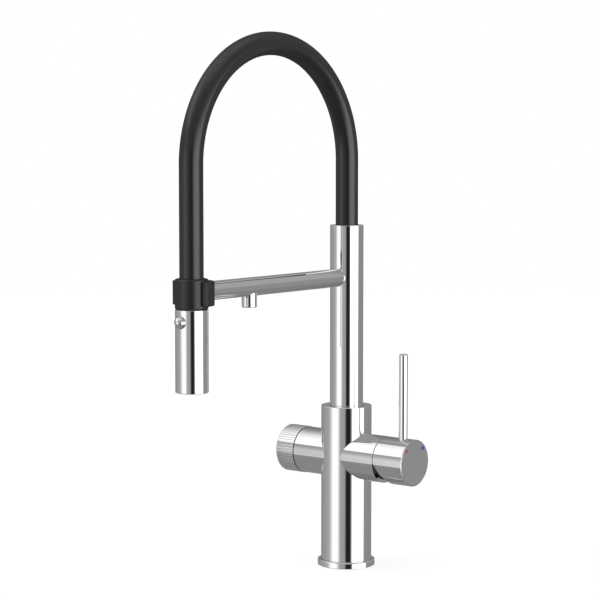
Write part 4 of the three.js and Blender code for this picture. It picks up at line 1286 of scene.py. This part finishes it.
BELOW = [*ACROSS, (-113, 0.38), (-88, 0.88), (-78, 0.88), *CARDS[5:-2], *BEHIND]
SHALLOW = [
    *ACROSS,
    (-60, 0.29),
    (-52, 0.9),
    (-30, 0.85),
    (-24, 0.3),
    (-4, 0.26),
    (0, 0.04),
    (10, 0.04),
    (14, 0.3),
    (24, 0.33),
    (30, 1.4),
    (74, 1.4),
    (82, 0.3),
    *BEHIND,
]
GROUND = [(-180, 0.28), (-60, 0.29), (0, 0.27), (90, 0.26), (180, 0.27)]
CEILING = [(-180, 0.85), (180, 0.85)]

# Above the ground, each layer's light comes in from its first to its second elevation, in degrees.
LAYERS = [
    (-27, -25.5, SHALLOW),
    (-17.5, -16.5, BELOW),
    (-16.5, -13, CARDS),
    (3, 20, BESIDE),
    (23.5, 25, OVERHEAD),
    (56, 60, CEILING),
]


def make_world():
    """Soft studio light from cards of white, grey and black, and a white backdrop."""
    world = bpy.data.worlds.new("studio")
    world.use_nodes = True
    bpy.context.scene.world = world
    tree = world.node_tree
    tree.nodes.clear()
    place = node(tree, "ShaderNodeTexCoord")
    turn = node(
        tree,
        "ShaderNodeVectorRotate",
        {"Angle": math.radians(-CAMERA_AZIMUTH)},
        rotation_type="Z_AXIS",
    )
    parts = node(tree, "ShaderNodeSeparateXYZ")
    toward = node(tree, "ShaderNodeMath", {1: -1}, operation="MULTIPLY")
    around = node(tree, "ShaderNodeMath", operation="ARCTAN2")
    tree.links.new(place.outputs["Generated"], turn.inputs["Vector"])
    tree.links.new(turn.outputs["Vector"], parts.inputs["Vector"])
    tree.links.new(parts.outputs["Y"], toward.inputs[0])
    tree.links.new(parts.outputs["X"], around.inputs[0])
    tree.links.new(toward.outputs["Value"], around.inputs[1])
    angle = map_range(tree, around.outputs["Value"], -math.pi, math.pi, 0, 1)
    light = ramp(tree, angle, GROUND)
    for start, end, stops in LAYERS:
        light = above(tree, parts.outputs["Z"], start, end, light, ramp(tree, angle, stops))
    studio = node(tree, "ShaderNodeBackground")
    backdrop = node(tree, "ShaderNodeBackground", {"Color": WHITE, "Strength": 1})
    mix = node(tree, "ShaderNodeMixShader")
    output = node(tree, "ShaderNodeOutputWorld")
    tree.links.new(light, studio.inputs["Color"])
    tree.links.new(seen_straight(tree), mix.inputs["Fac"])
    tree.links.new(studio.outputs["Background"], mix.inputs[1])
    tree.links.new(backdrop.outputs["Background"], mix.inputs[2])
    tree.links.new(mix.outputs["Shader"], output.inputs["Surface"])


def make_floor():
    """A plain pale disc whose glow lifts it to white, and which keeps the tap's shadow."""
    radius, drop, tone, glow_strength = 3, 0.05 * MM, 0.5, 0.72
    mesh = bpy.data.meshes.new("floor")
    work = bmesh.new()
    bmesh.ops.create_circle(work, cap_ends=True, segments=96, radius=radius)
    work.to_mesh(mesh)
    work.free()
    floor = made("floor", mesh)
    floor.location.z = -drop
    floor.visible_glossy = False  # the chrome mirrors the studio's lower cards instead
    pale = bpy.data.materials.new("pale_floor")
    pale.use_nodes = True
    tree = pale.node_tree
    tree.nodes.clear()
    diffuse = node(tree, "ShaderNodeBsdfDiffuse", {"Color": (*grey(tone), 1)})
    glow = node(tree, "ShaderNodeEmission", {"Color": WHITE, "Strength": glow_strength})
    dark = node(tree, "ShaderNodeEmission", {"Color": WHITE, "Strength": 0})
    choose = node(tree, "ShaderNodeMixShader")
    add = node(tree, "ShaderNodeAddShader")
    output = node(tree, "ShaderNodeOutputMaterial")
    tree.links.new(seen_straight(tree), choose.inputs["Fac"])
    tree.links.new(dark.outputs["Emission"], choose.inputs[1])
    tree.links.new(glow.outputs["Emission"], choose.inputs[2])
    tree.links.new(diffuse.outputs["BSDF"], add.inputs[0])
    tree.links.new(choose.outputs["Shader"], add.inputs[1])
    tree.links.new(add.outputs["Shader"], output.inputs["Surface"])
    mesh.materials.append(pale)


def make_camera():
    """The photograph's viewpoint, fitted to the outline of the tap in it."""
    camera = bpy.data.cameras.new("camera")
    camera.lens = CAMERA_LENS
    camera.sensor_width = CAMERA_SENSOR
    camera.sensor_fit = "HORIZONTAL"
    camera.clip_end = CAMERA_REACH
    viewer = bpy.data.objects.new("camera", camera)
    bpy.context.scene.collection.objects.link(viewer)
    viewer.location = CAMERA_PLACE
    viewer.rotation_euler = (math.radians(90 - CAMERA_PITCH), 0, math.radians(CAMERA_AZIMUTH))
    bpy.context.scene.camera = viewer


bpy.context.scene.view_settings.view_transform = "Standard"
carry_finishes()
make_foot()
make_body()
make_dome()
make_hub()
make_index()
make_knob()
make_riser()
make_arm()
make_outlet()
make_clip()
make_hose()
make_collar()
make_head()
make_button()
make_world()
make_floor()
make_camera()
